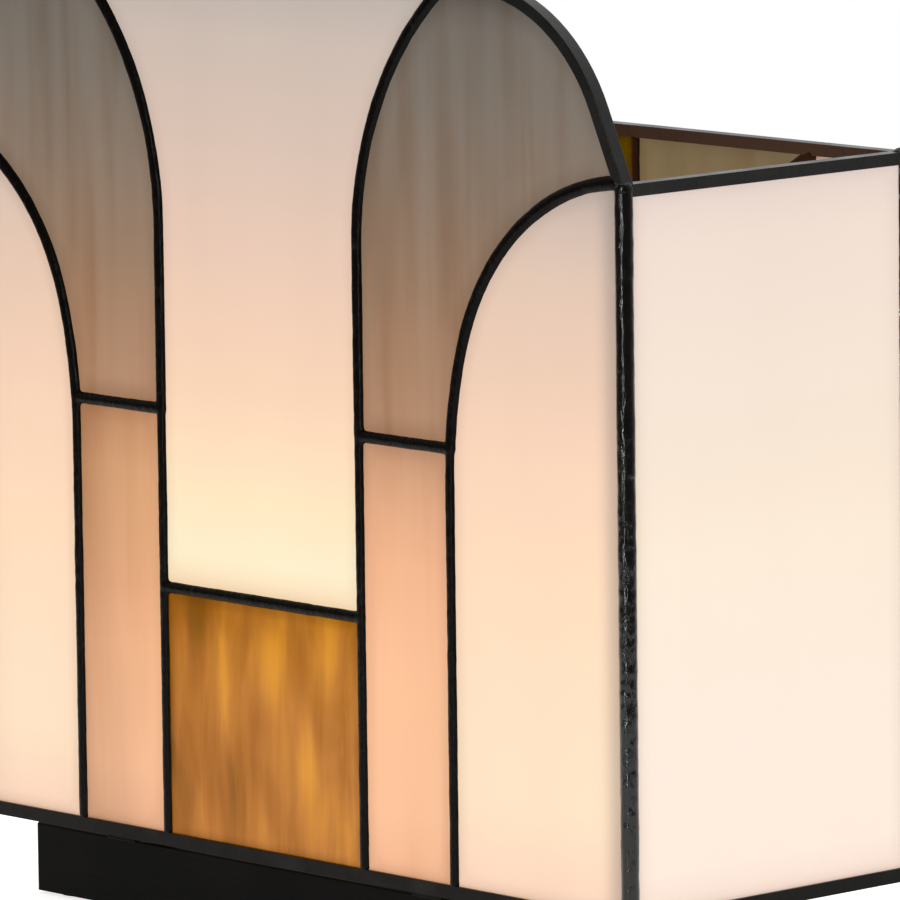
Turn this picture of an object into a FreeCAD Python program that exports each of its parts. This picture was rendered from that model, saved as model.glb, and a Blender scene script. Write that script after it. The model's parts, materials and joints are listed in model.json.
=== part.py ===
import FreeCAD, Part
import math
import os

import Sketcher

# A stained glass table lamp: a box shade of soldered glass on a black plinth, with one screw bulb inside.
# X runs along the width, Y from front to back, Z up. The origin is on the table, under the middle.
# All lengths are millimetres and all angles degrees.

DIMENSIONS = {
    # shade walls
    "half_width": 172.0,  # middle to the outer face of a side pane
    "half_depth": 62.6,  # middle to the outer face of the front and back panes
    "glass_base": 33.4,  # table to the lower edge of the glass
    "glass_thick": 3.0,
    "seam_gap": 0.8,  # solder between the edges of two neighbouring panes
    "line_width": 4.4,  # soldered line on the face of the glass
    "line_proud": 0.8,  # how far a line stands off the glass
    "foil_lap": 0.5,  # line left in view along a rail
    "corner_lap": 5.2,  # outer face of a side pane to the glass in view on the front
    "corner_gap": 0.4,
    "corner_bead": 2.9,  # radius of a corner bead
    # rails and rim, which are channels over the edge of the glass
    "rail_face": 4.0,
    "rail_depth": 5.0,
    "rail_hold": 2.0,  # how far the glass goes into a channel
    "bottom_face": 4.5,
    "side_height": 231.4,  # glass base to the top of the side and back rails
    # pattern of the front wall, from the middle and from the glass base
    "inner_line": 48.2,
    "outer_line": 91.0,
    "amber_top": 82.0,
    "peach_top": 141.0,
    "flare_start": 202.0,
    "flare_radius": 109.0,
    "arch_start": 131.3,
    "arch_low_radius": 149.0,
    "arch_low_turn": 16.3,
    "arch_high_radius": 81.9,
    "crest_height": 287.0,
    "shoulder_centre": 104.7,
    "shoulder_radius": 58.8,
    "shoulder_turn": 65.0,
    # pattern of the back wall
    "back_line": 50.0,
    "back_amber_base": 149.4,
    "back_arch_start": 163.6,
    "back_arch_radius": 70.0,
    # plinth
    "pad_height": 1.0,
    "pad_radius": 7.0,
    "pad_across": 122.0,
    "pad_along": 38.0,
    "plinth_half_width": 134.0,
    "plinth_half_depth": 47.6,
    "plinth_height": 23.2,
    "plinth_corner": 1.5,
    "plinth_round": 0.8,
    "recess_half_width": 104.0,
    "recess_half_depth": 25.0,
    "recess_depth": 15.0,
    "cover_lip": 8.0,
    "cover_thick": 1.2,
    "cover_play": 0.3,
    "screw_across": 90.0,
    "screw_along": 29.0,
    "screw_radius": 1.5,
    "screw_length": 9.0,
    "screw_head_radius": 3.0,
    "screw_head_height": 0.7,
    # cable grommet at the back of the plinth
    "grommet_level": 10.5,
    "grommet_radius": 5.0,
    "grommet_flange": 7.5,
    "grommet_flange_thick": 2.0,
    "grommet_length": 12.0,
    "grommet_bore": 3.6,
    # cross straps, studs and knurled nuts that hold the shade
    "strap_place": 75.0,
    "strap_half_width": 7.0,
    "strap_thick": 2.0,
    "strap_reach": 60.6,
    "strap_hole": 3.4,
    "stud_radius": 3.0,
    "stud_collar": 7.0,
    "stud_low": 10.0,
    "stud_high": 42.0,
    "stud_tip": 0.8,
    "knurl_radius": 8.0,
    "knurl_height": 9.0,
    "knurl_flange": 9.0,
    "knurl_flange_thick": 1.5,
    "knurl_bore": 3.06,
    "knurl_depth": 0.6,
    "knurl_count": 20.0,
    "lock_nut_flats": 10.0,
    "lock_nut_height": 5.0,
    # threaded tube
    "tube_radius": 5.0,
    "tube_bore": 3.6,
    "tube_low": 7.5,
    "tube_high": 34.0,
    "washer_radius": 9.5,
    "washer_thick": 1.2,
    "tube_nut_flats": 14.0,
    "tube_nut_height": 4.5,
    # lampholder
    "holder_foot_radius": 11.0,
    "holder_radius": 19.5,
    "holder_joint": 45.0,
    "holder_top": 77.0,
    "holder_wall": 1.6,
    "holder_lip": 1.5,
    "sleeve_radius": 13.5,
    "sleeve_wall": 0.5,
    "sleeve_base": 55.0,
    "sleeve_top": 75.5,
    "insert_thick": 10.0,
    "wire_hole": 2.0,
    "wire_place": 8.0,
    "spring_half_width": 2.5,
    "spring_rise": 2.5,
    "spring_thick": 0.6,
    # bulb
    "contact_base": 57.9,
    "contact_radius": 4.5,
    "contact_height": 1.4,
    "insulator_height": 4.6,
    "insulator_radius": 12.0,
    "cap_radius": 13.1,
    "cap_thread": 0.55,
    "cap_pitch": 3.62,
    "cap_top": 84.0,
    "bulb_radius": 30.0,
    "bulb_centre": 135.0,
    "bulb_neck": 12.6,
    "bulb_swell": 34.0,
    "bulb_wall": 0.9,
}
CAP_THREADS = 5
SHEET = "Dimensions"

doc = FreeCAD.newDocument("StainedGlassLamp")


class Size:
    """A number together with the sheet expression that gives it, so a place is worked out only once."""

    def __init__(self, value, text):
        self.value = value
        self.text = text

    @staticmethod
    def of(item):
        return item if isinstance(item, Size) else Size(float(item), "%.6f" % item)

    def __add__(self, other):
        other = Size.of(other)
        return Size(self.value + other.value, f"({self.text} + {other.text})")

    def __sub__(self, other):
        other = Size.of(other)
        return Size(self.value - other.value, f"({self.text} - {other.text})")

    def __mul__(self, other):
        other = Size.of(other)
        return Size(self.value * other.value, f"({self.text} * {other.text})")

    def __truediv__(self, other):
        other = Size.of(other)
        return Size(self.value / other.value, f"({self.text} / {other.text})")

    def __rmul__(self, other):
        return Size.of(other) * self

    def __neg__(self):
        return Size(-self.value, f"(0 - {self.text})")

    def squared(self):
        return self * self

    def root(self):
        return Size(math.sqrt(self.value), f"sqrt({self.text})")

    def sine(self):
        return Size(math.sin(math.radians(self.value)), f"sin({self.text})")

    def cosine(self):
        return Size(math.cos(math.radians(self.value)), f"cos({self.text})")


class Dimensions:
    """The driving dimensions as Size values, one attribute for each alias of the sheet."""

    def __init__(self, table):
        sheet = doc.addObject("Spreadsheet::Sheet", SHEET)
        for row, (alias, number) in enumerate(table.items(), start=1):
            sheet.set(f"A{row}", alias.replace("_", " "))
            sheet.set(f"B{row}", str(number))
            sheet.setAlias(f"B{row}", alias)
            setattr(self, alias, Size(number, f"{SHEET}.{alias}"))
        doc.recompute()


dim = Dimensions(DIMENSIONS)
ZERO = Size.of(0)
subparts = {}


def bind(item, prop, size):
    """Sets one property of an object from the sheet."""
    item.setExpression(prop, Size.of(size).text)


def place(item, x=ZERO, y=ZERO, z=ZERO, rotation=None):
    """Puts an object at a point, with its coordinates bound to the sheet."""
    spin = rotation or FreeCAD.Rotation()
    base = FreeCAD.Vector(*(Size.of(v).value for v in (x, y, z)))
    item.Placement = FreeCAD.Placement(base, spin)
    for axis, size in zip("xyz", (x, y, z)):
        bind(item, f".Placement.Base.{axis}", size)
    return item


def name_part(item, label):
    """Files an object as the sub-part of that name."""
    item.Label = label
    subparts[label] = item
    return item


# ---------------------------------------------------------------- sketches


class Corner:
    """A corner of an outline. The edge after it is straight, or an arc to the left (1) or right (-1)."""

    def __init__(self, x, z, radius=None, turn=0):
        self.x = Size.of(x)
        self.z = Size.of(z)
        self.radius = radius
        self.turn = turn

    def mirrored(self):
        return Corner(-self.x, self.z, self.radius, -self.turn)


def mirrored(outline):
    return [corner.mirrored() for corner in outline]


def rectangle(x0, x1, z0, z1):
    return [Corner(x0, z0), Corner(x1, z0), Corner(x1, z1), Corner(x0, z1)]


def edge_between(start, end):
    """The line or arc from one corner to the next. An arc in a sketch always runs anticlockwise."""
    a = FreeCAD.Vector(start.x.value, start.z.value, 0)
    b = FreeCAD.Vector(end.x.value, end.z.value, 0)
    if start.radius is None:
        return Part.LineSegment(a, b)
    radius = start.radius.value
    chord = b - a
    left = FreeCAD.Vector(-chord.y, chord.x, 0).normalize()
    rise = math.sqrt(radius**2 - (chord.Length / 2) ** 2)
    centre = (a + b) * 0.5 + left * (rise * start.turn)
    first, last = (a, b) if start.turn > 0 else (b, a)
    angles = [math.atan2(p.y - centre.y, p.x - centre.x) for p in (first, last)]
    return Part.ArcOfCircle(Part.Circle(centre, FreeCAD.Vector(0, 0, 1), radius), *angles)


def bound_constraint(sketch, size, *constraint):
    index = sketch.addConstraint(Sketcher.Constraint(*constraint, size.value))
    sketch.setExpression(f"Constraints[{index}]", size.text)


def draw_outline(sketch, outline):
    """Adds a closed outline whose corners and radii are bound to the sheet."""
    edges = []
    for i, corner in enumerate(outline):
        geometry = edge_between(corner, outline[(i + 1) % len(outline)])
        edges.append(sketch.addGeometry(geometry, False))
    for i, corner in enumerate(outline):
        start_end = (2, 1) if corner.turn < 0 else (1, 2)
        before = outline[i - 1]
        end_before = 1 if before.turn < 0 else 2
        joint = Sketcher.Constraint("Coincident", edges[i - 1], end_before, edges[i], start_end[0])
        sketch.addConstraint(joint)
        bound_constraint(sketch, corner.x, "DistanceX", -1, 1, edges[i], start_end[0])
        bound_constraint(sketch, corner.z, "DistanceY", -1, 1, edges[i], start_end[0])
        if corner.radius is not None:
            bound_constraint(sketch, corner.radius, "Radius", edges[i])


def draw_circle(sketch, x, z, radius):
    x, z = Size.of(x), Size.of(z)
    middle = FreeCAD.Vector(x.value, z.value, 0)
    circle = Part.Circle(middle, FreeCAD.Vector(0, 0, 1), radius.value)
    index = sketch.addGeometry(circle, False)
    bound_constraint(sketch, x, "DistanceX", -1, 1, index, 3)
    bound_constraint(sketch, z, "DistanceY", -1, 1, index, 3)
    bound_constraint(sketch, radius, "Radius", index)


def new_sketch(body, plane, name):
    """A sketch on one of the body's own origin planes."""
    sketch = body.newObject("Sketcher::SketchObject", name)
    origin_plane = [f for f in body.Origin.OriginFeatures if f.Role == plane][0]
    sketch.AttachmentSupport = [(origin_plane, "")]
    sketch.MapMode = "FlatFace"
    return sketch


def new_body(name):
    return doc.addObject("PartDesign::Body", name)


def pad(body, sketch, length):
    feature = body.newObject("PartDesign::Pad", f"{body.Name}_pad")
    feature.Profile = sketch
    bind(feature, "Length", length)
    return feature


def pocket(body, sketch, length, reverse):
    """Cuts a pocket of that length and stops the script if nothing is removed."""
    doc.recompute()
    before = body.Shape.Volume
    feature = body.newObject("PartDesign::Pocket", f"{sketch.Name}_pocket")
    feature.Profile = sketch
    feature.Reversed = reverse
    bind(feature, "Length", length)
    doc.recompute()
    if body.Shape.Volume >= before - 1e-6:
        raise RuntimeError(f"{feature.Name} cuts nothing")
    return feature


def sheet_body(name, outlines, thick, y_back):
    """A flat piece that stands in the XZ plane, its rear at y_back. outlines are its edge and windows."""
    body = new_body(name)
    sketch = new_sketch(body, "XZ_Plane", f"{name}_outline")
    for outline in outlines:
        draw_outline(sketch, outline)
    pad(body, sketch, thick)
    return place(body, y=y_back, z=dim.glass_base)


def turned(name, outlines, **where):
    """A piece turned about its own Z axis. outlines are half sections with radius as x."""
    body = new_body(name)
    sketch = new_sketch(body, "XZ_Plane", f"{name}_section")
    for outline in outlines:
        draw_outline(sketch, outline)
    spin = body.newObject("PartDesign::Revolution", f"{name}_turn")
    spin.Profile = sketch
    spin.ReferenceAxis = (sketch, ["V_Axis"])
    spin.Angle = 360
    return place(body, **where)


def box(name, x, y, z, length, width, height):
    item = doc.addObject("Part::Box", name)
    for prop, size in (("Length", length), ("Width", width), ("Height", height)):
        bind(item, prop, size)
    return place(item, x, y, z)


def cylinder(name, radius, height, x=ZERO, y=ZERO, z=ZERO):
    item = doc.addObject("Part::Cylinder", name)
    bind(item, "Radius", radius)
    bind(item, "Height", height)
    return place(item, x, y, z)


def compound(name, items):
    item = doc.addObject("Part::Compound", name)
    item.Links = items
    return item


def cut(name, base, tools):
    item = doc.addObject("Part::Cut", name)
    item.Base = base
    item.Tool = tools[0] if len(tools) == 1 else compound(f"{name}_tools", tools)
    return item


# ---------------------------------------------------------------- pattern of the front wall
# Each pane is drawn by three distances: from the middle of a soldered line (line), from the edge of a rail
# (rail, positive towards the middle of the pane) and from the middle of the wall to its end (end).

sin_low = dim.arch_low_turn.sine()
cos_low = dim.arch_low_turn.cosine()
sin_turn = dim.shoulder_turn.sine()
cos_turn = dim.shoulder_turn.cosine()
flare_x = dim.inner_line + dim.flare_radius
low_x = dim.outer_line + dim.arch_low_radius
high_x = low_x - (dim.arch_low_radius - dim.arch_high_radius) * cos_low
high_z = dim.arch_start + (dim.arch_low_radius - dim.arch_high_radius) * sin_low
shoulder_z = dim.crest_height - dim.shoulder_radius


def left_of(centre_x, radius, rise):
    """X of the left side of a circle, at a height above its centre."""
    return centre_x - (radius.squared() - rise.squared()).root()


def shoulder_end(rail):
    """Where the round shoulder of the front wall turns into its straight flank."""
    radius = dim.shoulder_radius - rail
    return dim.shoulder_centre + radius * sin_turn, shoulder_z + radius * cos_turn


def flank_x(rail, z):
    x_end, z_end = shoulder_end(rail)
    return x_end + (z_end - z) * cos_turn / sin_turn


def flank_z(rail, x):
    x_end, z_end = shoulder_end(rail)
    return z_end - (x - x_end) * sin_turn / cos_turn


def arch_on_flank(line, rail):
    """Where the outside of the arch meets the flank: a circle crossed by a straight line."""
    x_end, z_end = shoulder_end(rail)
    along = (x_end - high_x) * cos_turn - (z_end - high_z) * sin_turn
    apart = (x_end - high_x).squared() + (z_end - high_z).squared()
    radius = dim.arch_high_radius + line
    run = -along - (along.squared() - apart + radius.squared()).root()
    return x_end + run * cos_turn, z_end - run * sin_turn


def amber_pane(line, rail, end):
    half = dim.inner_line - line
    return rectangle(-half, half, rail, dim.amber_top - line)


def centre_pane(line, rail, end):
    half = dim.inner_line - line
    top = dim.crest_height - rail
    radius = dim.flare_radius + line
    top_x = left_of(flare_x, radius, top - dim.flare_start)
    return [
        Corner(-half, dim.amber_top + line),
        Corner(half, dim.amber_top + line),
        Corner(half, dim.flare_start, radius, -1),
        Corner(top_x, top),
        Corner(-top_x, top, radius, -1),
        Corner(-half, dim.flare_start),
    ]


def peach_pane(line, rail, end):
    top = dim.peach_top - line
    radius = dim.arch_low_radius + line
    return [
        Corner(dim.inner_line + line, rail),
        Corner(dim.outer_line - line, rail),
        Corner(dim.outer_line - line, dim.arch_start, radius, -1),
        Corner(left_of(low_x, radius, top - dim.arch_start), top),
        Corner(dim.inner_line + line, top),
    ]


def grey_pane(line, rail, end):
    base = dim.peach_top + line
    top = dim.crest_height - rail
    low = dim.arch_low_radius + line
    flare = dim.flare_radius - line
    x_tip, z_tip = arch_on_flank(line, rail)
    x_end, z_end = shoulder_end(rail)
    return [
        Corner(dim.inner_line + line, base),
        Corner(left_of(low_x, low, base - dim.arch_start), base, low, -1),
        Corner(low_x - low * cos_low, dim.arch_start + low * sin_low, dim.arch_high_radius + line, -1),
        Corner(x_tip, z_tip),
        Corner(x_end, z_end, dim.shoulder_radius - rail, 1),
        Corner(dim.shoulder_centre, top),
        Corner(left_of(flare_x, flare, top - dim.flare_start), top, flare, 1),
        Corner(dim.inner_line + line, dim.flare_start),
    ]


def opal_pane(line, rail, end):
    low = dim.arch_low_radius - line
    high = dim.arch_high_radius - line
    return [
        Corner(dim.outer_line + line, rail),
        Corner(end, rail),
        Corner(end, high_z + (high.squared() - (end - high_x).squared()).root(), high, 1),
        Corner(low_x - low * cos_low, dim.arch_start + low * sin_low, low, 1),
        Corner(dim.outer_line + line, dim.arch_start),
    ]


def front_edge(end):
    """The whole front wall inside its rim and rails."""
    x_end, z_end = shoulder_end(ZERO)
    z_corner = flank_z(ZERO, end)
    crest = dim.crest_height
    return [
        Corner(-end, ZERO),
        Corner(end, ZERO),
        Corner(end, z_corner),
        Corner(x_end, z_end, dim.shoulder_radius, 1),
        Corner(dim.shoulder_centre, crest),
        Corner(-dim.shoulder_centre, crest, dim.shoulder_radius, 1),
        Corner(-x_end, z_end),
        Corner(-end, z_corner),
    ]


def rim_outline():
    """The band over the top of the front wall, from one corner to the other."""
    foot = dim.side_height
    outer = -dim.rail_face
    x_in, z_in = shoulder_end(ZERO)
    x_out, z_out = shoulder_end(outer)
    big = dim.shoulder_radius + dim.rail_face
    crest_out = dim.crest_height + dim.rail_face
    return [
        Corner(flank_x(ZERO, foot), foot),
        Corner(flank_x(outer, foot), foot),
        Corner(x_out, z_out, big, 1),
        Corner(dim.shoulder_centre, crest_out),
        Corner(-dim.shoulder_centre, crest_out, big, 1),
        Corner(-x_out, z_out),
        Corner(-flank_x(outer, foot), foot),
        Corner(-flank_x(ZERO, foot), foot),
        Corner(-x_in, z_in, dim.shoulder_radius, -1),
        Corner(-dim.shoulder_centre, dim.crest_height),
        Corner(dim.shoulder_centre, dim.crest_height, dim.shoulder_radius, -1),
        Corner(x_in, z_in),
    ]


# ---------------------------------------------------------------- pattern of the back wall

back_top = dim.side_height - dim.rail_face
back_arch_x = dim.outer_line + dim.back_arch_radius


def back_amber_pane(line, rail, end):
    half = dim.back_line - line
    return rectangle(-half, half, dim.back_amber_base + line, back_top - rail)


def back_centre_pane(line, rail, end):
    half = dim.back_line - line
    return rectangle(-half, half, rail, dim.back_amber_base - line)


def back_beige_pane(line, rail, end):
    top = back_top - rail
    radius = dim.back_arch_radius + line
    return [
        Corner(dim.back_line + line, rail),
        Corner(dim.outer_line - line, rail),
        Corner(dim.outer_line - line, dim.back_arch_start, radius, -1),
        Corner(left_of(back_arch_x, radius, top - dim.back_arch_start), top),
        Corner(dim.back_line + line, top),
    ]


def back_opal_pane(line, rail, end):
    top = back_top - rail
    radius = dim.back_arch_radius - line
    return [
        Corner(dim.outer_line + line, rail),
        Corner(end, rail),
        Corner(end, top),
        Corner(left_of(back_arch_x, radius, top - dim.back_arch_start), top, radius, 1),
        Corner(dim.outer_line + line, dim.back_arch_start),
    ]


# ---------------------------------------------------------------- shade

MIDDLE_FRONT = {"front_amber_glass": amber_pane, "front_centre_glass": centre_pane}
PAIRS_FRONT = {
    "front_peach_glass": peach_pane,
    "front_grey_glass": grey_pane,
    "front_opal_glass": opal_pane,
}
MIDDLE_BACK = {"back_amber_glass": back_amber_pane, "back_centre_glass": back_centre_pane}
PAIRS_BACK = {"back_beige_glass": back_beige_pane, "back_opal_glass": back_opal_pane}

glass_end = dim.half_width - dim.glass_thick - dim.corner_gap
window_end = dim.half_width - dim.corner_lap
half_glass = dim.glass_thick / 2
half_rail = dim.rail_depth / 2
wall_middle_x = dim.half_width - half_glass
wall_middle_y = dim.half_depth - half_glass
rail_base = dim.glass_base - dim.bottom_face
rail_top = dim.glass_base + dim.side_height


def pattern(middle, pairs, line, rail, end):
    """Outlines of all panes of a wall, by name."""
    outlines = {name: shape(line, rail, end) for name, shape in middle.items()}
    for name, shape in pairs.items():
        right = shape(line, rail, end)
        outlines[f"{name}_right"] = right
        outlines[f"{name}_left"] = mirrored(right)
    return outlines


def wall_panes(middle, pairs, y_middle):
    outlines = pattern(middle, pairs, dim.seam_gap / 2, -dim.rail_hold, glass_end)
    return {
        name: name_part(sheet_body(name, [outline], dim.glass_thick, y_middle + half_glass), name)
        for name, outline in outlines.items()
    }


def side_panes():
    """One upright pane on each side, between the front and back walls."""
    reach = dim.half_depth - dim.glass_thick - dim.corner_gap
    height = dim.side_height - dim.rail_face + dim.rail_hold * 2
    panes = {}
    for side, x in (("left", -dim.half_width), ("right", dim.half_width - dim.glass_thick)):
        name = f"side_opal_glass_{side}"
        pane = box(name, x, -reach, dim.glass_base - dim.rail_hold, dim.glass_thick, reach * 2, height)
        panes[name] = name_part(pane, name)
    return panes


def corner_beads(panes):
    """A round bead of solder down each corner, with the edges of two walls in it."""
    beads = []
    for end, y in (("front", -wall_middle_y), ("back", wall_middle_y)):
        for side, x in (("left", -wall_middle_x), ("right", wall_middle_x)):
            name = f"corner_bead_{end}_{side}"
            rod = cylinder(f"{name}_rod", dim.corner_bead, rail_top - rail_base, x, y, rail_base)
            held = [panes[f"{end}_opal_glass_{side}"], panes[f"side_opal_glass_{side}"]]
            beads.append(name_part(cut(name, rod, held), name))
    return beads


def wall_lines(name, edge, windows, y_middle, panes, beads):
    """The soldered lines of a wall: one flat network that grips the panes on both faces."""
    thick = dim.glass_thick + dim.line_proud * 2
    network = sheet_body(f"{name}_network", [edge, *windows], thick, y_middle + thick / 2)
    name_part(cut(name, network, [*panes, *beads]), name)


def channel(name, *block):
    """The block that a channel is cut from."""
    return box(f"{name}_block", *block)


def rails(panes, beads):
    """Straight channels under all four walls, and over the sides and the back."""
    top_base = rail_top - dim.rail_face
    holders = [*panes.values(), *beads]
    long_run = wall_middle_x * 2
    short_run = wall_middle_y * 2
    for end, y in (("front", -wall_middle_y), ("back", wall_middle_y)):
        name = f"bottom_rail_{end}"
        section = (dim.rail_depth, dim.bottom_face)
        bar = channel(name, -wall_middle_x, y - half_rail, rail_base, long_run, *section)
        name_part(cut(name, bar, holders), name)
    for side, x in (("left", -wall_middle_x), ("right", wall_middle_x)):
        for level, z, face in (("bottom", rail_base, dim.bottom_face), ("top", top_base, dim.rail_face)):
            name = f"{level}_rail_{side}"
            bar = channel(name, x - half_rail, -wall_middle_y, z, dim.rail_depth, short_run, face)
            if level == "bottom":
                crossed = [subparts[f"bottom_rail_{end}"] for end in ("front", "back")]
            else:
                crossed = [subparts[f"{end}_lead_lines"] for end in ("front", "back")]
            name_part(cut(name, bar, [*holders, *crossed]), name)
    name = "top_rail_back"
    y = wall_middle_y - half_rail
    bar = channel(name, -wall_middle_x, y, top_base, long_run, dim.rail_depth, dim.rail_face)
    sides = [subparts[f"top_rail_{side}"] for side in ("left", "right")]
    name_part(cut(name, bar, [*holders, *sides]), name)


def straps():
    """Flat steel bars soldered under the front and back rails, each with a hole for a stud."""
    for side, sign in (("left", -1), ("right", 1)):
        name = f"cross_strap_{side}"
        middle = sign * dim.strap_place
        body = new_body(name)
        sketch = new_sketch(body, "XY_Plane", f"{name}_outline")
        half = dim.strap_half_width
        draw_outline(sketch, rectangle(-half, half, -dim.strap_reach, dim.strap_reach))
        draw_circle(sketch, ZERO, ZERO, dim.strap_hole)
        pad(body, sketch, dim.strap_thick)
        place(body, x=middle, z=rail_base - dim.strap_thick)
        name_part(body, name)


def build_shade():
    front = wall_panes(MIDDLE_FRONT, PAIRS_FRONT, -wall_middle_y)
    back = wall_panes(MIDDLE_BACK, PAIRS_BACK, wall_middle_y)
    panes = {**front, **back, **side_panes()}
    beads = corner_beads(panes)
    half_line = dim.line_width / 2
    front_windows = pattern(MIDDLE_FRONT, PAIRS_FRONT, half_line, dim.foil_lap, window_end).values()
    back_windows = pattern(MIDDLE_BACK, PAIRS_BACK, half_line, dim.foil_lap, window_end).values()
    outer = front_edge(glass_end)
    wall_lines("front_lead_lines", outer, front_windows, -wall_middle_y, front.values(), beads)
    outer = rectangle(-glass_end, glass_end, ZERO, back_top)
    wall_lines("back_lead_lines", outer, back_windows, wall_middle_y, back.values(), beads)
    band = sheet_body("front_rim_band", [rim_outline()], dim.rail_depth, half_rail - wall_middle_y)
    name_part(cut("front_rim", band, list(front.values())), "front_rim")
    rails(panes, beads)
    straps()


# ---------------------------------------------------------------- plinth

plinth_top = dim.pad_height + dim.plinth_height
recess_top = dim.pad_height + dim.recess_depth
cover_half_width = dim.recess_half_width + dim.cover_lip
cover_half_depth = dim.recess_half_depth + dim.cover_lip


def four_corners(across, along):
    """Name and place of four things set out on a rectangle."""
    for end, y in (("front", -along), ("back", along)):
        for side, x in (("left", -across), ("right", across)):
            yield f"{end}_{side}", x, y


def rounded_rectangle(half_x, half_y, radius):
    x, y = half_x - radius, half_y - radius
    return [
        Corner(-x, -half_y),
        Corner(x, -half_y, radius, 1),
        Corner(half_x, -y),
        Corner(half_x, y, radius, 1),
        Corner(x, half_y),
        Corner(-x, half_y, radius, 1),
        Corner(-half_x, y),
        Corner(-half_x, -y, radius, 1),
    ]


def build_plinth():
    """A block hollowed from below, with holes for the tube, the studs, the screws and the cable."""
    body = new_body("plinth")
    block = new_sketch(body, "XY_Plane", "plinth_block")
    half_x, half_y = dim.plinth_half_width, dim.plinth_half_depth
    draw_outline(block, rounded_rectangle(half_x, half_y, dim.plinth_corner))
    block_pad = pad(body, block, dim.plinth_height)
    doc.recompute()
    height = dim.plinth_height.value
    top_edges = [
        f"Edge{i}"
        for i, edge in enumerate(block_pad.Shape.Edges, start=1)
        if all(abs(v.Z - height) < 1e-6 for v in edge.Vertexes)
    ]
    rounding = body.newObject("PartDesign::Fillet", "plinth_rounding")
    rounding.Base = (block_pad, top_edges)
    bind(rounding, "Radius", dim.plinth_round)

    rebate = new_sketch(body, "XY_Plane", "plinth_rebate")
    half_x, half_y = cover_half_width, cover_half_depth
    draw_outline(rebate, rectangle(-half_x, half_x, -half_y, half_y))
    pocket(body, rebate, dim.cover_thick, True)

    recess = new_sketch(body, "XY_Plane", "plinth_recess")
    half_x, half_y = dim.recess_half_width, dim.recess_half_depth
    draw_outline(recess, rectangle(-half_x, half_x, -half_y, half_y))
    pocket(body, recess, dim.recess_depth, True)

    holes = new_sketch(body, "XY_Plane", "plinth_holes")
    draw_circle(holes, ZERO, ZERO, dim.tube_radius)
    for sign in (-1, 1):
        draw_circle(holes, sign * dim.strap_place, ZERO, dim.stud_radius)
    pocket(body, holes, dim.plinth_height, True)

    pilots = new_sketch(body, "XY_Plane", "plinth_pilots")
    for _, x, y in four_corners(dim.screw_across, dim.screw_along):
        draw_circle(pilots, x, y, dim.screw_radius)
    pocket(body, pilots, dim.cover_thick + dim.screw_length, True)

    cable = new_sketch(body, "XZ_Plane", "plinth_cable")
    draw_circle(cable, ZERO, dim.grommet_level - dim.pad_height, dim.grommet_radius)
    pocket(body, cable, dim.plinth_half_depth, False)
    name_part(place(body, z=dim.pad_height), "plinth")


def build_underside():
    half_x, half_y = cover_half_width - dim.cover_play, cover_half_depth - dim.cover_play
    body = new_body("bottom_cover")
    sketch = new_sketch(body, "XY_Plane", "bottom_cover_outline")
    draw_outline(sketch, rectangle(-half_x, half_x, -half_y, half_y))
    for _, x, y in four_corners(dim.screw_across, dim.screw_along):
        draw_circle(sketch, x, y, dim.screw_radius)
    pad(body, sketch, dim.cover_thick)
    name_part(place(body, z=dim.pad_height), "bottom_cover")

    screws = []
    shank = dim.screw_radius
    tip = dim.cover_thick + dim.screw_length
    section = [
        Corner(ZERO, -dim.screw_head_height),
        Corner(dim.screw_head_radius, -dim.screw_head_height),
        Corner(dim.screw_head_radius, ZERO),
        Corner(shank, ZERO),
        Corner(shank, tip - shank),
        Corner(ZERO, tip),
    ]
    for corner, x, y in four_corners(dim.screw_across, dim.screw_along):
        screws.append(turned(f"cover_screw_{corner}", [section], x=x, y=y, z=dim.pad_height))
    name_part(compound("cover_screws", screws), "cover_screws")

    edge = dim.pad_height / 4
    pad_section = [
        Corner(ZERO, ZERO),
        Corner(dim.pad_radius - edge, ZERO),
        Corner(dim.pad_radius, edge),
        Corner(dim.pad_radius, dim.pad_height),
        Corner(ZERO, dim.pad_height),
    ]
    for corner, x, y in four_corners(dim.pad_across, dim.pad_along):
        name = f"foot_pad_{corner}"
        name_part(turned(name, [pad_section], x=x, y=y), name)


def build_grommet():
    """A flanged bush in the back of the plinth. Its axis runs along Y."""
    flange = dim.grommet_flange_thick
    section = [
        Corner(dim.grommet_bore, -dim.grommet_length),
        Corner(dim.grommet_radius, -dim.grommet_length),
        Corner(dim.grommet_radius, ZERO),
        Corner(dim.grommet_flange, ZERO),
        Corner(dim.grommet_flange, flange / 2),
        Corner(dim.grommet_flange - flange / 2, flange),
        Corner(dim.grommet_bore, flange),
    ]
    to_back = FreeCAD.Rotation(FreeCAD.Vector(1, 0, 0), -90)
    where = {"y": dim.plinth_half_depth, "z": dim.grommet_level, "rotation": to_back}
    body = turned("cable_grommet", [section], **where)
    name_part(body, "cable_grommet")


# ---------------------------------------------------------------- fixings


def hex_nut(name, flats, height, bore, x, z):
    """A hexagonal nut with its lower face at z."""
    prism = doc.addObject("Part::Prism", f"{name}_prism")
    prism.Polygon = 6
    bind(prism, "Circumradius", flats / Size.of(30).cosine() / 2)
    bind(prism, "Height", height)
    place(prism, x=x, z=z)
    return cut(name, prism, [cylinder(f"{name}_bore", bore, height, x=x, z=z)])


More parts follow.
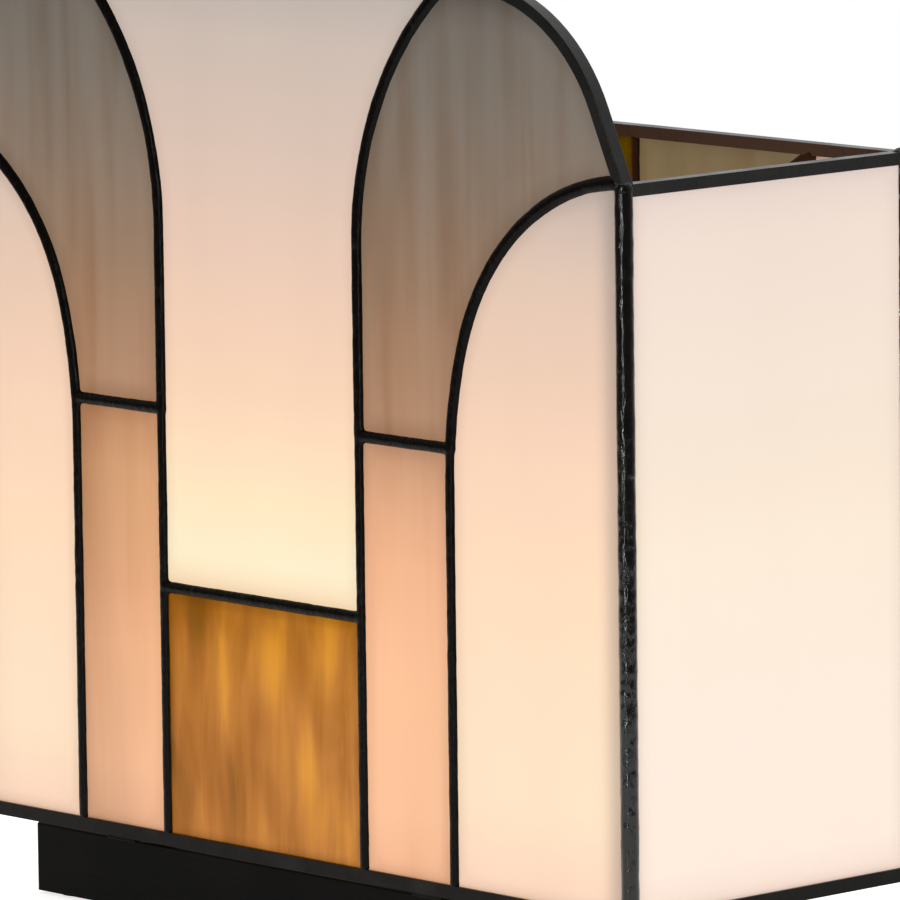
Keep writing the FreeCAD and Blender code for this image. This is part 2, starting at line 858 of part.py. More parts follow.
def build_studs():
    """A collared stud on each side of the plinth, with a lock nut below."""
    collar_top = rail_base - dim.strap_thick
    nuts = []
    section = [
        Corner(ZERO, dim.stud_low),
        Corner(dim.stud_radius, dim.stud_low),
        Corner(dim.stud_radius, plinth_top),
        Corner(dim.stud_collar, plinth_top),
        Corner(dim.stud_collar, collar_top),
        Corner(dim.stud_radius, collar_top),
        Corner(dim.stud_radius, dim.stud_high - dim.stud_tip),
        Corner(dim.stud_radius - dim.stud_tip, dim.stud_high),
        Corner(ZERO, dim.stud_high),
    ]
    for side, sign in (("left", -1), ("right", 1)):
        x = sign * dim.strap_place
        name = f"shade_stud_{side}"
        name_part(turned(name, [section], x=x), name)
        low = recess_top - dim.lock_nut_height
        nuts.append(
            hex_nut(f"stud_nut_{side}", dim.lock_nut_flats, dim.lock_nut_height, dim.stud_radius, x, low)
        )
    name_part(compound("stud_lock_nuts", nuts), "stud_lock_nuts")


def build_knurled_nuts():
    """A round nut with a flange and a ring of upright grooves, one over each strap."""
    section = [
        Corner(dim.knurl_bore, ZERO),
        Corner(dim.knurl_flange, ZERO),
        Corner(dim.knurl_flange, dim.knurl_flange_thick),
        Corner(dim.knurl_radius, dim.knurl_flange_thick),
        Corner(dim.knurl_radius, dim.knurl_height - dim.knurl_depth),
        Corner(dim.knurl_radius - dim.knurl_depth, dim.knurl_height),
        Corner(dim.knurl_bore, dim.knurl_height),
    ]
    groove = [
        Corner(dim.knurl_radius - dim.knurl_depth, ZERO),
        Corner(dim.knurl_radius + dim.knurl_depth, -dim.knurl_depth * 2),
        Corner(dim.knurl_radius + dim.knurl_depth, dim.knurl_depth * 2),
    ]
    for side, sign in (("left", -1), ("right", 1)):
        name = f"shade_nut_{side}"
        body = turned(name, [section], x=sign * dim.strap_place, z=rail_base)
        sketch = new_sketch(body, "XY_Plane", f"{name}_groove")
        bind(sketch, ".AttachmentOffset.Base.z", dim.knurl_flange_thick)
        draw_outline(sketch, groove)
        first = pocket(body, sketch, dim.knurl_height, True)
        ring = body.newObject("PartDesign::PolarPattern", f"{name}_grooves")
        ring.Originals = [first]
        ring.Axis = (sketch, ["N_Axis"])
        ring.Angle = 360
        bind(ring, "Occurrences", dim.knurl_count)
        body.Tip = ring
        name_part(body, name)


def build_tube():
    """The hollow threaded tube that clamps the lampholder to the plinth, with its washer and nut."""
    tube = [
        Corner(dim.tube_bore, dim.tube_low),
        Corner(dim.tube_radius, dim.tube_low),
        Corner(dim.tube_radius, dim.tube_high),
        Corner(dim.tube_bore, dim.tube_high),
    ]
    name_part(turned("threaded_tube", [tube]), "threaded_tube")
    washer_base = recess_top - dim.washer_thick
    disc = cylinder("tube_washer_disc", dim.washer_radius, dim.washer_thick, z=washer_base)
    hole = cylinder("tube_washer_hole", dim.tube_radius, dim.washer_thick, z=washer_base)
    name_part(cut("tube_washer", disc, [hole]), "tube_washer")
    nut_base = washer_base - dim.tube_nut_height
    nut = hex_nut("tube_nut", dim.tube_nut_flats, dim.tube_nut_height, dim.tube_radius, ZERO, nut_base)
    name_part(nut, "tube_nut")


# ---------------------------------------------------------------- lampholder and bulb


def build_lampholder():
    wall = dim.holder_wall
    inner = dim.sleeve_radius + dim.sleeve_wall
    shoulder = dim.holder_joint - dim.holder_wall
    cap = [
        Corner(dim.tube_radius, plinth_top),
        Corner(dim.holder_foot_radius, plinth_top),
        Corner(dim.holder_foot_radius + wall, dim.tube_high),
        Corner(dim.holder_radius, shoulder),
        Corner(dim.holder_radius, dim.holder_joint),
        Corner(dim.holder_radius - wall, dim.holder_joint),
        Corner(dim.holder_foot_radius, dim.tube_high),
        Corner(dim.tube_radius, dim.tube_high),
    ]
    name_part(turned("holder_cap", [cap]), "holder_cap")
    body = [
        Corner(inner, dim.holder_joint),
        Corner(dim.holder_radius, dim.holder_joint),
        Corner(dim.holder_radius, dim.holder_top - dim.holder_lip),
        Corner(dim.holder_radius - dim.holder_lip, dim.holder_top),
        Corner(inner, dim.holder_top),
    ]
    name_part(turned("holder_body", [body]), "holder_body")
    base, thick = dim.holder_joint, dim.insert_thick
    disc = cylinder("holder_insert_disc", inner, thick, z=base)
    wire_holes = []
    for side, sign in (("left", -1), ("right", 1)):
        x = sign * dim.wire_place
        wire_holes.append(cylinder(f"holder_insert_hole_{side}", dim.wire_hole, thick, x=x, z=base))
    name_part(cut("holder_insert", disc, wire_holes), "holder_insert")
    sleeve = rectangle(dim.sleeve_radius, inner, dim.sleeve_base, dim.sleeve_top)
    name_part(turned("holder_sleeve", [sleeve]), "holder_sleeve")

    # The spring is a bent strip: a flat foot on the insert, a slope, and a raised tongue under the bulb.
    thick, rise, foot = dim.spring_thick, dim.spring_rise, dim.spring_rise * 2
    strip = [
        Corner(-foot * 2, ZERO),
        Corner(-foot, ZERO),
        Corner(ZERO - rise, rise - thick),
        Corner(foot, rise - thick),
        Corner(foot, rise),
        Corner(ZERO - rise - thick / 2, rise),
        Corner(-foot - thick / 2, thick),
        Corner(-foot * 2, thick),
    ]
    spring = new_body("holder_contact")
    sketch = new_sketch(spring, "XZ_Plane", "holder_contact_outline")
    draw_outline(sketch, strip)
    pad(spring, sketch, dim.spring_half_width * 2)
    name_part(place(spring, y=dim.spring_half_width, z=dim.sleeve_base), "holder_contact")


def cap_section(base):
    """Half section of the screw cap: a thin shell whose crests stand one pitch apart."""
    root = dim.cap_radius - dim.cap_thread
    thin = root - dim.bulb_wall
    inner = [Corner(thin, dim.cap_top), Corner(thin, base)]
    outer = [Corner(dim.insulator_radius, base), Corner(root, base + dim.cap_thread * 2)]
    first = base + dim.cap_pitch
    for turn in range(CAP_THREADS):
        level = first + turn * dim.cap_pitch
        step = dim.cap_pitch / 4
        outer += [Corner(root, level - step), Corner(dim.cap_radius, level), Corner(root, level + step)]
    return [*inner, *outer, Corner(root, dim.cap_top)]


def build_bulb():
    insulator_base = dim.contact_base + dim.contact_height
    cap_base = insulator_base + dim.insulator_height
    dome = dim.contact_height / 2
    contact = [
        Corner(ZERO, dim.contact_base),
        Corner(dim.contact_radius - dome, dim.contact_base),
        Corner(dim.contact_radius, dim.contact_base + dome),
        Corner(dim.contact_radius, insulator_base),
        Corner(ZERO, insulator_base),
    ]
    name_part(turned("bulb_contact", [contact]), "bulb_contact")
    insulator = [
        Corner(ZERO, insulator_base),
        Corner(dim.contact_radius + dome, insulator_base),
        Corner(dim.insulator_radius, cap_base),
        Corner(ZERO, cap_base),
    ]
    name_part(turned("bulb_insulator", [insulator]), "bulb_insulator")
    name_part(turned("bulb_cap", [cap_section(cap_base)]), "bulb_cap")

    # The envelope: a globe that runs down into the neck through a hollow curve tangent to both.
    globe, swell, neck = dim.bulb_radius, dim.bulb_swell, dim.bulb_neck
    reach = (globe + swell).squared() - (neck + swell).squared()
    neck_top = dim.bulb_centre - reach.root()
    share = globe / (globe + swell)
    meet_x = (neck + swell) * share
    meet_z = dim.bulb_centre - reach.root() * share
    wall = dim.bulb_wall
    inner_share = (globe - wall) / (globe + swell)
    inner_x = (neck + swell) * inner_share
    inner_z = dim.bulb_centre - reach.root() * inner_share
    top = dim.bulb_centre + globe
    envelope = [
        Corner(neck - wall, dim.cap_top),
        Corner(neck, dim.cap_top),
        Corner(neck, neck_top, swell, -1),
        Corner(meet_x, meet_z, globe, 1),
        Corner(globe, dim.bulb_centre, globe, 1),
        Corner(ZERO, top),
        Corner(ZERO, top - wall, globe - wall, -1),
        Corner(globe - wall, dim.bulb_centre, globe - wall, -1),
        Corner(inner_x, inner_z, swell + wall, 1),
        Corner(neck - wall, neck_top),
    ]
    name_part(turned("bulb_glass", [envelope]), "bulb_glass")


# ---------------------------------------------------------------- checks and files


def check_document():
    """Stops if any object failed, or if a sub-part is null or not valid."""
    for item in doc.Objects:
        bad = {"Invalid", "Error"} & set(item.State)
        if bad:
            raise RuntimeError(f"{item.Name} is {bad}")
    for label, item in subparts.items():
        if item.Shape.isNull() or not item.Shape.isValid() or item.Shape.Volume <= 0:
            raise RuntimeError(f"{label} has no valid shape")


def write_parts():
    os.makedirs("parts", exist_ok=True)
    for label, item in subparts.items():
        item.Shape.exportStep(os.path.join("parts", f"{label}.step"))
        size = item.Shape.BoundBox
        print(f"{label:28s} {len(item.Shape.Solids):2d} solids {item.Shape.Volume / 1000:9.3f} cm3 "
              f"z {size.ZMin:7.2f} to {size.ZMax:7.2f}")
    print(f"{len(subparts)} sub-parts")


build_shade()
build_plinth()
build_underside()
build_grommet()
build_studs()
build_knurled_nuts()
build_tube()
build_lampholder()
build_bulb()
doc.recompute()
check_document()
write_parts()
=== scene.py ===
import itertools
import json
import math

import bmesh
import bpy
import numpy as np
from mathutils import Matrix, Vector, geometry, noise


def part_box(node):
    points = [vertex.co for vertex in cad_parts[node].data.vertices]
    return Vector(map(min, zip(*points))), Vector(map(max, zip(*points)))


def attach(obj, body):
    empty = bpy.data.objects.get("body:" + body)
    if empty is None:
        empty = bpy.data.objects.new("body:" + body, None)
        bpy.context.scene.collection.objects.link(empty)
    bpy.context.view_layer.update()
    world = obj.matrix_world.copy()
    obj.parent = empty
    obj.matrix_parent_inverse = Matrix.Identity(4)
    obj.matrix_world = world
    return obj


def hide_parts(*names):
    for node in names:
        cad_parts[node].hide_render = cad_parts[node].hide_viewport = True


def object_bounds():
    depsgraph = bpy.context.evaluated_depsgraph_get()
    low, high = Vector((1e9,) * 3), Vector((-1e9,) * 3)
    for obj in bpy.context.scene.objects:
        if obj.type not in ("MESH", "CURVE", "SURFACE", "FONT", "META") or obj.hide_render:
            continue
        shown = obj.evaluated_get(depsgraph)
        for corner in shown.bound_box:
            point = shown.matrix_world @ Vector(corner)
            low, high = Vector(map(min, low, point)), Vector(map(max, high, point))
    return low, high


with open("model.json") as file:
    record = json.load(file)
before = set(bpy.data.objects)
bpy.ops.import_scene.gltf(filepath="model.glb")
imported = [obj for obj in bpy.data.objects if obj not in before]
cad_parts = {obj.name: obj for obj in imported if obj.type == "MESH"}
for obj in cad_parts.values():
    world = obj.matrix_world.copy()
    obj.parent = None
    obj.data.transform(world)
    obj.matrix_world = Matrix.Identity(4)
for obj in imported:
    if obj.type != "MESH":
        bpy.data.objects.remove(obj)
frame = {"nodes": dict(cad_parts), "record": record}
cad_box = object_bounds()

# The looks of a stained glass table lamp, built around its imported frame. Lengths are in metres.
# The patterned front wall looks along -Y, X runs to the right of it and Z is up.

UP = Vector((0, 0, 1))
MILLIMETRE = 0.001
WELD = 1e-6  # points closer than this are one point
INWARD = (-0.045, -0.020)  # place along Y times facing along Y: inside the shade, and past its edge
SHEEN = 0.02  # what the gloss of the glass adds to its brightness


def rgb(red, green, blue):
    """A screen colour from 0 to 255 as a linear shader colour."""
    linear = []
    for value in (red, green, blue):
        share = value / 255
        linear.append(share / 12.92 if share <= 0.04045 else ((share + 0.055) / 1.055) ** 2.4)
    return (*linear, 1.0)


# ---------------------------------------------------------------- materials


class Paint:
    """A material under construction. Most methods add nodes and return the last one's output."""

    def __init__(self, name):
        self.material = bpy.data.materials.new(name)
        self.material.use_nodes = True
        self.tree = self.material.node_tree
        self.shader = self.tree.nodes["Principled BSDF"]
        places = self.node("ShaderNodeTexCoord")
        self.object_space = places.outputs["Object"]
        self.facing = places.outputs["Normal"]

    def node(self, kind, **settings):
        """Adds a node of a kind, with its settings."""
        made = self.tree.nodes.new(kind)
        for key, value in settings.items():
            setattr(made, key, value)
        return made

    def feed(self, socket, value):
        """Gives a socket a number, a colour or another node's output."""
        if isinstance(value, bpy.types.NodeSocket):
            self.tree.links.new(value, socket)
        else:
            socket.default_value = value

    def set(self, **sockets):
        """Feeds the shader's sockets, named with underscores for spaces."""
        for name, value in sockets.items():
            self.feed(self.shader.inputs[name.replace("_", " ")], value)
        return self

    def attribute(self, name):
        """A number that the mesh holds at each of its points."""
        return self.node("ShaderNodeAttribute", attribute_name=name).outputs["Fac"]

    def axis(self, name, vector=None):
        """One part, X, Y or Z, of a vector, or of the object's own coordinates."""
        split = self.node("ShaderNodeSeparateXYZ")
        self.feed(split.inputs[0], vector or self.object_space)
        return split.outputs[name]

    def inward(self):
        """Where bulb light is painted: 1 on faces of the front and back walls that look into the shade, 0
        on all others.
        """
        product = self.math("MULTIPLY", self.axis("Y"), self.axis("Y", self.facing))
        return self.spread(product, *INWARD, 1.0, 0.0)

    def math(self, operation, first, second=0.0):
        """The result of a sum on one or two numbers."""
        made = self.node("ShaderNodeMath", operation=operation)
        self.feed(made.inputs[0], first)
        self.feed(made.inputs[1], second)
        return made.outputs[0]

    def spread(self, value, low, high, at_low=0.0, at_high=1.0):
        """Maps low..high smoothly to at_low..at_high, and holds both ends."""
        made = self.node("ShaderNodeMapRange", interpolation_type="SMOOTHSTEP")
        for socket, number in zip(made.inputs, (value, low, high, at_low, at_high)):
            self.feed(socket, number)
        return made.outputs[0]

    def ramp(self, value, stops):
        """A colour ramp. stops are (place, colour) with places from 0 to 1."""
        made = self.node("ShaderNodeValToRGB")
        elements = made.color_ramp.elements
        while len(elements) < len(stops):
            elements.new(0.5)
        for element, (place, colour) in zip(elements, stops):
            element.position = place
            element.color = colour
        self.feed(made.inputs[0], value)
        return made.outputs[0]

    def mix(self, share, first, second, blend="MIX"):
        """Blends two colours. share says how far the blend goes from the first towards its full effect."""
        made = self.node("ShaderNodeMix", data_type="RGBA", blend_type=blend)
        self.feed(made.inputs["Factor"], share)
        self.feed(made.inputs["A"], first)
        self.feed(made.inputs["B"], second)
        return made.outputs["Result"]

    def level(self, foot, span):
        """Height over a foot, as a share of a span."""
        return self.math("DIVIDE", self.math("SUBTRACT", self.axis("Z"), foot), span)

    def grey(self, value):
        """A number as a grey colour."""
        made = self.node("ShaderNodeCombineColor")
        for socket in made.inputs:
            self.feed(socket, value)
        return made.outputs[0]

    def without(self, lit, own, level, studio):
        """The glow that is left for the bulb, once the studio has lit up the glass's own colour."""
        share = self.ramp(level, [(place, (value, value, value, 1)) for place, value in enumerate(studio)])
        unlit = self.mix(1.0, own, share, "MULTIPLY")
        unlit = self.mix(1.0, unlit, (SHEEN, SHEEN, SHEEN, 1), "ADD")
        return self.mix(1.0, lit, unlit, "SUBTRACT")

    def noise(self, size, stretch=(1, 1, 1), detail=3.0, distortion=0.0, shift=0.0):
        """Soft noise from 0 to 1 whose grain is size, longer along an axis whose stretch is above 1."""
        mapping = self.node("ShaderNodeMapping")
        self.feed(mapping.inputs["Vector"], self.object_space)
        mapping.inputs["Scale"].default_value = [1 / (size * s) for s in stretch]
        mapping.inputs["Location"].default_value = (shift, shift, shift)
        made = self.node("ShaderNodeTexNoise")
        self.feed(made.inputs["Vector"], mapping.outputs[0])
        made.inputs["Scale"].default_value = 1.0
        made.inputs["Detail"].default_value = detail
        made.inputs["Distortion"].default_value = distortion
        return made.outputs["Fac"]

    def bump(self, height, distance, strength):
        """Roughens the surface's shading by a height from 0 to 1 that stands for a distance."""
        made = self.node("ShaderNodeBump")
        made.inputs["Strength"].default_value = strength
        made.inputs["Distance"].default_value = distance
        self.feed(made.inputs["Height"], height)
        self.feed(self.shader.inputs["Normal"], made.outputs[0])
        return self


GLASS_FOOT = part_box("bottom_rail_front")[1].z  # table to the lower edge of the glass
GLASS_SPAN = 0.290  # length of the height scale that the glow colours use


def heights(stops):
    """(height over the glass foot in mm, red, green, blue) as ramp stops."""
    return [(height * MILLIMETRE / GLASS_SPAN, rgb(*colour)) for height, *colour in stops]


def dimming(stops):
    """The same, where red, green and blue are what is left of the colour, from 0 to 1."""
    return [(height * MILLIMETRE / GLASS_SPAN, (*shares, 1)) for height, *shares in stops]


STUDIO_FRONT = (0.825, 0.56)  # how much of a pane's own colour the studio lights up, at its foot and top
STUDIO_SIDE = (0.78, 0.49)
CORNER_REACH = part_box("side_opal_glass_right")[0].x  # middle of the front wall to the side glass
CORNER_SHADE = rgb(140, 130, 126)  # painted shade: what the front glass darkens to there
BEAD_HALF = 0.0018  # from the edge of a pane to where the solder stops hiding it


def glass_paint(name, body, glow, fade=0.1, fade_width=0.006, streak=0.04, grain=0.012, wisp=None,
                studio=STUDIO_FRONT, corner=None, lean=None, shift=0.0):
    """Opal glass lit from behind. body is its own colour and glow the colours it shows when lit, by height.
    fade is the painted shade beside the solder, and streak is the depth of its upright streaks. wisp is the
    colour of its strands and how strong they are. corner is where painted shade starts to turn it grey
    towards the end of the wall, and by how much. lean tilts its painted light across: two places along X
    and the brightness at each."""
    paint = Paint(name)
    level = paint.level(GLASS_FOOT, GLASS_SPAN)
    seen = paint.ramp(level, heights(glow))
    fine = paint.noise(grain, (1, 1, 14), detail=3.0, distortion=0.3, shift=shift)
    cloud = paint.noise(grain * 4, (1, 1, 2.5), detail=2.0, distortion=0.8, shift=shift + 7)
    tone = paint.math("ADD", paint.math("MULTIPLY", fine, 0.6), paint.math("MULTIPLY", cloud, 0.4))
    tone = paint.spread(tone, 0.3, 0.7, 1 - streak, 1 + streak)
    # painted shade: the glass is darker beside the solder, in its own colour and its glow alike
    beside = paint.attribute("edge")
    shade = paint.spread(beside, BEAD_HALF, BEAD_HALF + fade_width, 1 - fade, 1.0)
    tone = paint.math("MULTIPLY", tone, shade)
    # painted shade: the glass turns grey towards the end of the wall
    if corner:
        start, depth = corner
        reach = paint.math("ABSOLUTE", paint.axis("X"))
        seen = paint.mix(paint.spread(reach, start, CORNER_REACH, 0.0, depth), seen, CORNER_SHADE)
    # painted light: the glass is brighter towards one end of the wall
    if lean:
        tone = paint.math("MULTIPLY", tone, paint.spread(paint.axis("X"), *lean))
    if wisp:
        colour, amount = wisp
        strand = paint.noise(grain * 0.8, (1, 1, 13), detail=2.5, distortion=0.3, shift=shift + 3)
        seen = paint.mix(paint.spread(strand, 0.40, 0.75, 0.0, amount), seen, colour, "MULTIPLY")
    lit = paint.mix(1.0, seen, paint.grey(tone), "MULTIPLY")
    own = paint.mix(1.0, body, paint.grey(tone), "MULTIPLY")
    glowing = paint.without(lit, own, level, studio)
    paint.set(Base_Color=own, Emission_Color=glowing, Emission_Strength=1.0, Roughness=0.32, IOR=1.5)
    paint.set(Specular_IOR_Level=0.25)
    ripple = paint.math("ADD", paint.noise(0.02, detail=2.0, shift=shift),
                        paint.math("MULTIPLY", paint.noise(0.0035, detail=2.0), 0.15))
    paint.bump(ripple, 0.0006, 0.35)
    return paint.material


AMBER_TONES = [(0.05, rgb(140, 88, 30)), (0.3, rgb(172, 106, 44)), (0.5, rgb(190, 122, 58)),
               (0.75, rgb(218, 145, 62)), (1.0, rgb(234, 165, 72))]


def amber_paint(name, dimmed):
    """Streaky amber glass: the flames of the streak attribute on a brown body, with painted shade that
    darkens it with height and beside the solder.
    """
    paint = Paint(name)
    strand = paint.noise(0.007, (1, 1, 9), detail=4.0, distortion=0.5)
    cloud = paint.noise(0.016, (1, 1, 3), detail=2.0, distortion=1.0, shift=4)
    tone = paint.math("ADD", paint.attribute("streak"), paint.spread(strand, 0.3, 0.7, -0.09, 0.09))
    tone = paint.math("ADD", tone, paint.spread(cloud, 0.3, 0.7, -0.10, 0.10))
    seen = paint.ramp(tone, AMBER_TONES)
    # painted shade: darker beside the solder
    beside = paint.spread(paint.attribute("edge"), BEAD_HALF, BEAD_HALF + 0.004, 0.80, 1.0)
    level = paint.level(GLASS_FOOT, GLASS_SPAN)
    # painted shade: darker with height, in its glow and its own colour alike
    left = paint.ramp(level, dimming(dimmed))
    lit = paint.mix(1.0, seen, left, "MULTIPLY")
    lit = paint.mix(1.0, lit, paint.grey(beside), "MULTIPLY")
    own = paint.ramp(tone, [(0.1, rgb(96, 56, 18)), (1.0, rgb(150, 96, 34))])
    own = paint.mix(1.0, own, left, "MULTIPLY")
    glowing = paint.without(lit, own, level, STUDIO_FRONT)
    paint.set(Base_Color=own, Emission_Color=glowing, Emission_Strength=1.0, Roughness=0.28, IOR=1.5)
    paint.set(Specular_IOR_Level=0.25)
    paint.bump(paint.noise(0.012, (1, 1, 2), detail=3.0), 0.0008, 0.4)
    return paint.material


PAINTED_BULB_LIGHT = rgb(56, 33, 18)  # painted light: the warm colour of solder and channel on the side that the bulb lights


def solder_paint(name, specular, low, high):
    """Black patina over hand run solder, whose shine breaks up on fine wrinkles, with painted bulb light on
    its faces inside the shade. low and high are the limits of its roughness."""
    paint = Paint(name)
    worn = paint.spread(paint.noise(0.004, detail=5.0, distortion=0.7), 0.60, 0.76)
    base = paint.mix(worn, rgb(13, 11, 9), rgb(34, 32, 30))
    # painted light: warm bulb light on the faces inside the shade
    base = paint.mix(paint.inward(), base, PAINTED_BULB_LIGHT)
    wrinkle = paint.noise(0.0022, (1, 1, 3), detail=4.0, distortion=1.2)
    paint.set(Base_Color=base, IOR=1.5, Specular_IOR_Level=specular)
    paint.set(Roughness=paint.spread(wrinkle, 0.3, 0.7, low, high))
    return paint.bump(wrinkle, 0.0005, 0.5).material


def channel_paint(name, specular, roughness=0.36):
    """Satin black patina on drawn channel, with faint lengthwise draw marks and dull grey wear, and
    painted bulb light on its faces inside the shade.
    """
    paint = Paint(name)
    marks = paint.noise(0.0016, (9, 9, 9), detail=4.0)
    rub = paint.spread(paint.noise(0.011, (2, 2, 1), detail=5.0, distortion=0.4), 0.5, 0.8)
    base = paint.mix(rub, rgb(20, 19, 16), rgb(34, 33, 29))
    # painted light: warm bulb light on the faces inside the shade
    base = paint.mix(paint.inward(), base, PAINTED_BULB_LIGHT)
    paint.set(Base_Color=base, IOR=1.5, Specular_IOR_Level=specular)
    paint.set(Roughness=paint.spread(marks, 0.3, 0.7, roughness * 0.8, roughness * 1.2))
    return paint.bump(paint.noise(0.003, detail=4.0), 0.0002, 0.5).material


def lacquer_paint():
    """Matte black lacquer on wood: closed grain shows as a faint relief."""
    paint = Paint("plinth_lacquer")
    grain = paint.noise(0.0015, (22, 1, 1), detail=5.0, distortion=0.3)
    cloud = paint.noise(0.03, detail=3.0)
    paint.set(Base_Color=paint.mix(paint.spread(cloud, 0.35, 0.7), rgb(12, 12, 11), rgb(17, 16, 15)))
    paint.set(Roughness=paint.spread(grain, 0.3, 0.7, 0.34, 0.46), IOR=1.5, Specular_IOR_Level=0.03)
    return paint.bump(grain, 0.00012, 0.5).material


def metal_paint(name, bright, dull, roughness):
    """Bare or plated metal with cloudy dulling and fine machining marks."""
    paint = Paint(name)
    cloud = paint.noise(0.006, detail=4.0, distortion=0.5)
    marks = paint.noise(0.0012, detail=3.0)
    paint.set(Base_Color=paint.mix(paint.spread(cloud, 0.35, 0.7), bright, dull), Metallic=1.0)
    paint.set(Roughness=paint.spread(cloud, 0.3, 0.7, roughness * 0.8, roughness * 1.25))
    return paint.bump(marks, 0.00008, 0.6).material


def moulded_paint(name, colour, other, roughness, specular=0.4, grain=0.0009):
    """Moulded plastic, rubber or glazed ceramic with a fine skin."""
    paint = Paint(name)
    cloud = paint.noise(0.012, detail=3.0)
    paint.set(Base_Color=paint.mix(paint.spread(cloud, 0.35, 0.7), colour, other))
    paint.set(Roughness=paint.spread(cloud, 0.3, 0.7, roughness * 0.85, roughness * 1.15))
    paint.set(IOR=1.5, Specular_IOR_Level=specular)
    return paint.bump(paint.noise(grain, detail=3.0), 0.00005, 0.5).material


def bulb_paint():
    """An opal bulb, lit: warmer and dimmer towards its neck."""
    paint = Paint("bulb_lit")
    low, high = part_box("bulb_glass")
    up = paint.level(low.z, high.z - low.z)
    glow = paint.ramp(up, [(0.0, rgb(206, 142, 90)), (0.22, rgb(238, 188, 124)), (0.5, rgb(252, 228, 180)),
                           (1.0, rgb(246, 212, 158))])
    cloud = paint.spread(paint.noise(0.02, detail=3.0), 0.3, 0.7, 0.96, 1.0)
    paint.set(Base_Color=paint.ramp(up, [(0.0, rgb(96, 88, 76)), (1.0, rgb(120, 112, 98))]))
    paint.set(Emission_Color=paint.mix(1.0, glow, paint.grey(cloud), "MULTIPLY"), Emission_Strength=0.85)
    paint.set(Roughness=0.3, IOR=1.5)
    return paint.bump(paint.noise(0.004, detail=2.0), 0.00003, 0.3).material


# ---------------------------------------------------------------- panes

SQUARE_ON = 0.99  # a face whose normal is this much along a direction looks in that direction
EDGE_STEP = 0.0025  # spacing of the points along a pane's edge
RINGS = (0.0018, 0.0045)  # distances from the edge of the rings of points inside it
LATTICE = 0.0032  # spacing of the points in the middle of a pane
CROWDED = 0.97  # a ring's point is dropped if it is nearer than this share of its distance to the edge
CLEAR = 0.6  # the lattice starts this share of its spacing inside the last ring
RIPPLE = 0.00016  # how far the rolled face of the glass waves
WAVE_LONG, WAVE_SHORT = 0.028, 0.007  # lengths of those waves
WAVE_START = 0.006  # from the edge of a pane to where it waves in full
STREAK_BASE = 0.42  # brightness of the amber piece between its streaks


class Wall:
    """One wall of the shade, by the way it faces. A flat point of it is (distance across, height)."""

    def __init__(self, outward):
        self.outward = Vector(outward)
        self.across = UP.cross(self.outward)

    def flat(self, point):
        """The flat point of a point in space."""
        return point.dot(self.across), point.z

    def point(self, across, height, depth):
        """The point in space of a flat point and a depth, which is measured outwards."""
        return self.across * across + self.outward * depth + UP * height

    def depths(self, node):
        """The depths of the node's inner and outer faces, measured outwards."""
        return sorted(corner.dot(self.outward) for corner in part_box(node))


WALLS = {
    "front": Wall((0, -1, 0)),
    "back": Wall((0, 1, 0)),
    "left": Wall((-1, 0, 0)),
    "right": Wall((1, 0, 0)),
}


def outline_of(node, wall):
    """The edge of the node's outer face, in order and anticlockwise, as flat points of the wall."""
    mesh = bmesh.new()
    mesh.from_mesh(frame["nodes"][node].data)
    bmesh.ops.remove_doubles(mesh, verts=mesh.verts[:], dist=WELD)
    mesh.normal_update()
    others = [face for face in mesh.faces if face.normal.dot(wall.outward) < SQUARE_ON]
    bmesh.ops.delete(mesh, geom=others, context="FACES")
    first = next(edge for edge in mesh.edges if edge.is_boundary)
    loop, vertex, edge = [], first.verts[0], first
    while not loop or edge is not first:
        loop.append(wall.flat(vertex.co))
        vertex = edge.other_vert(vertex)
        edge = next(e for e in vertex.link_edges if e.is_boundary and e is not edge)
    mesh.free()
    loop = np.array(loop)
    turned = np.roll(loop, -1, axis=0)
    area = (loop[:, 0] * turned[:, 1] - loop[:, 1] * turned[:, 0]).sum()
    return loop if area > 0 else loop[::-1]


def resampled(loop, step):
    """The same closed outline, with its points no more than step apart."""
    points = []
    for start, end in zip(loop, np.roll(loop, -1, axis=0)):
        count = max(1, math.ceil(np.linalg.norm(end - start) / step))
        points += [start + (end - start) * i / count for i in range(count)]
    return np.array(points)


def nearest(points, loop):
    """For each point, the nearest place on a closed outline, and how far it is."""
    run = np.roll(loop, -1, axis=0) - loop
    share = ((points[:, None] - loop) * run).sum(2) / (run**2).sum(1)
    places = loop + np.clip(share, 0, 1)[..., None] * run
    apart = np.linalg.norm(points[:, None] - places, axis=2)
    best = apart.argmin(1)
    rows = np.arange(len(points))
    return places[rows, best], apart[rows, best]


def inside(points, loop):
    """Which points are inside a closed outline."""
    ends = np.roll(loop, -1, axis=0)
    across, height = points[:, :1], points[:, 1:]
    crossed = (loop[:, 1] > height) != (ends[:, 1] > height)
    rise = np.where(ends[:, 1] == loop[:, 1], 1.0, ends[:, 1] - loop[:, 1])
    where = loop[:, 0] + (height - loop[:, 1]) / rise * (ends[:, 0] - loop[:, 0])
    return (crossed & (across < where)).sum(1) % 2 == 1


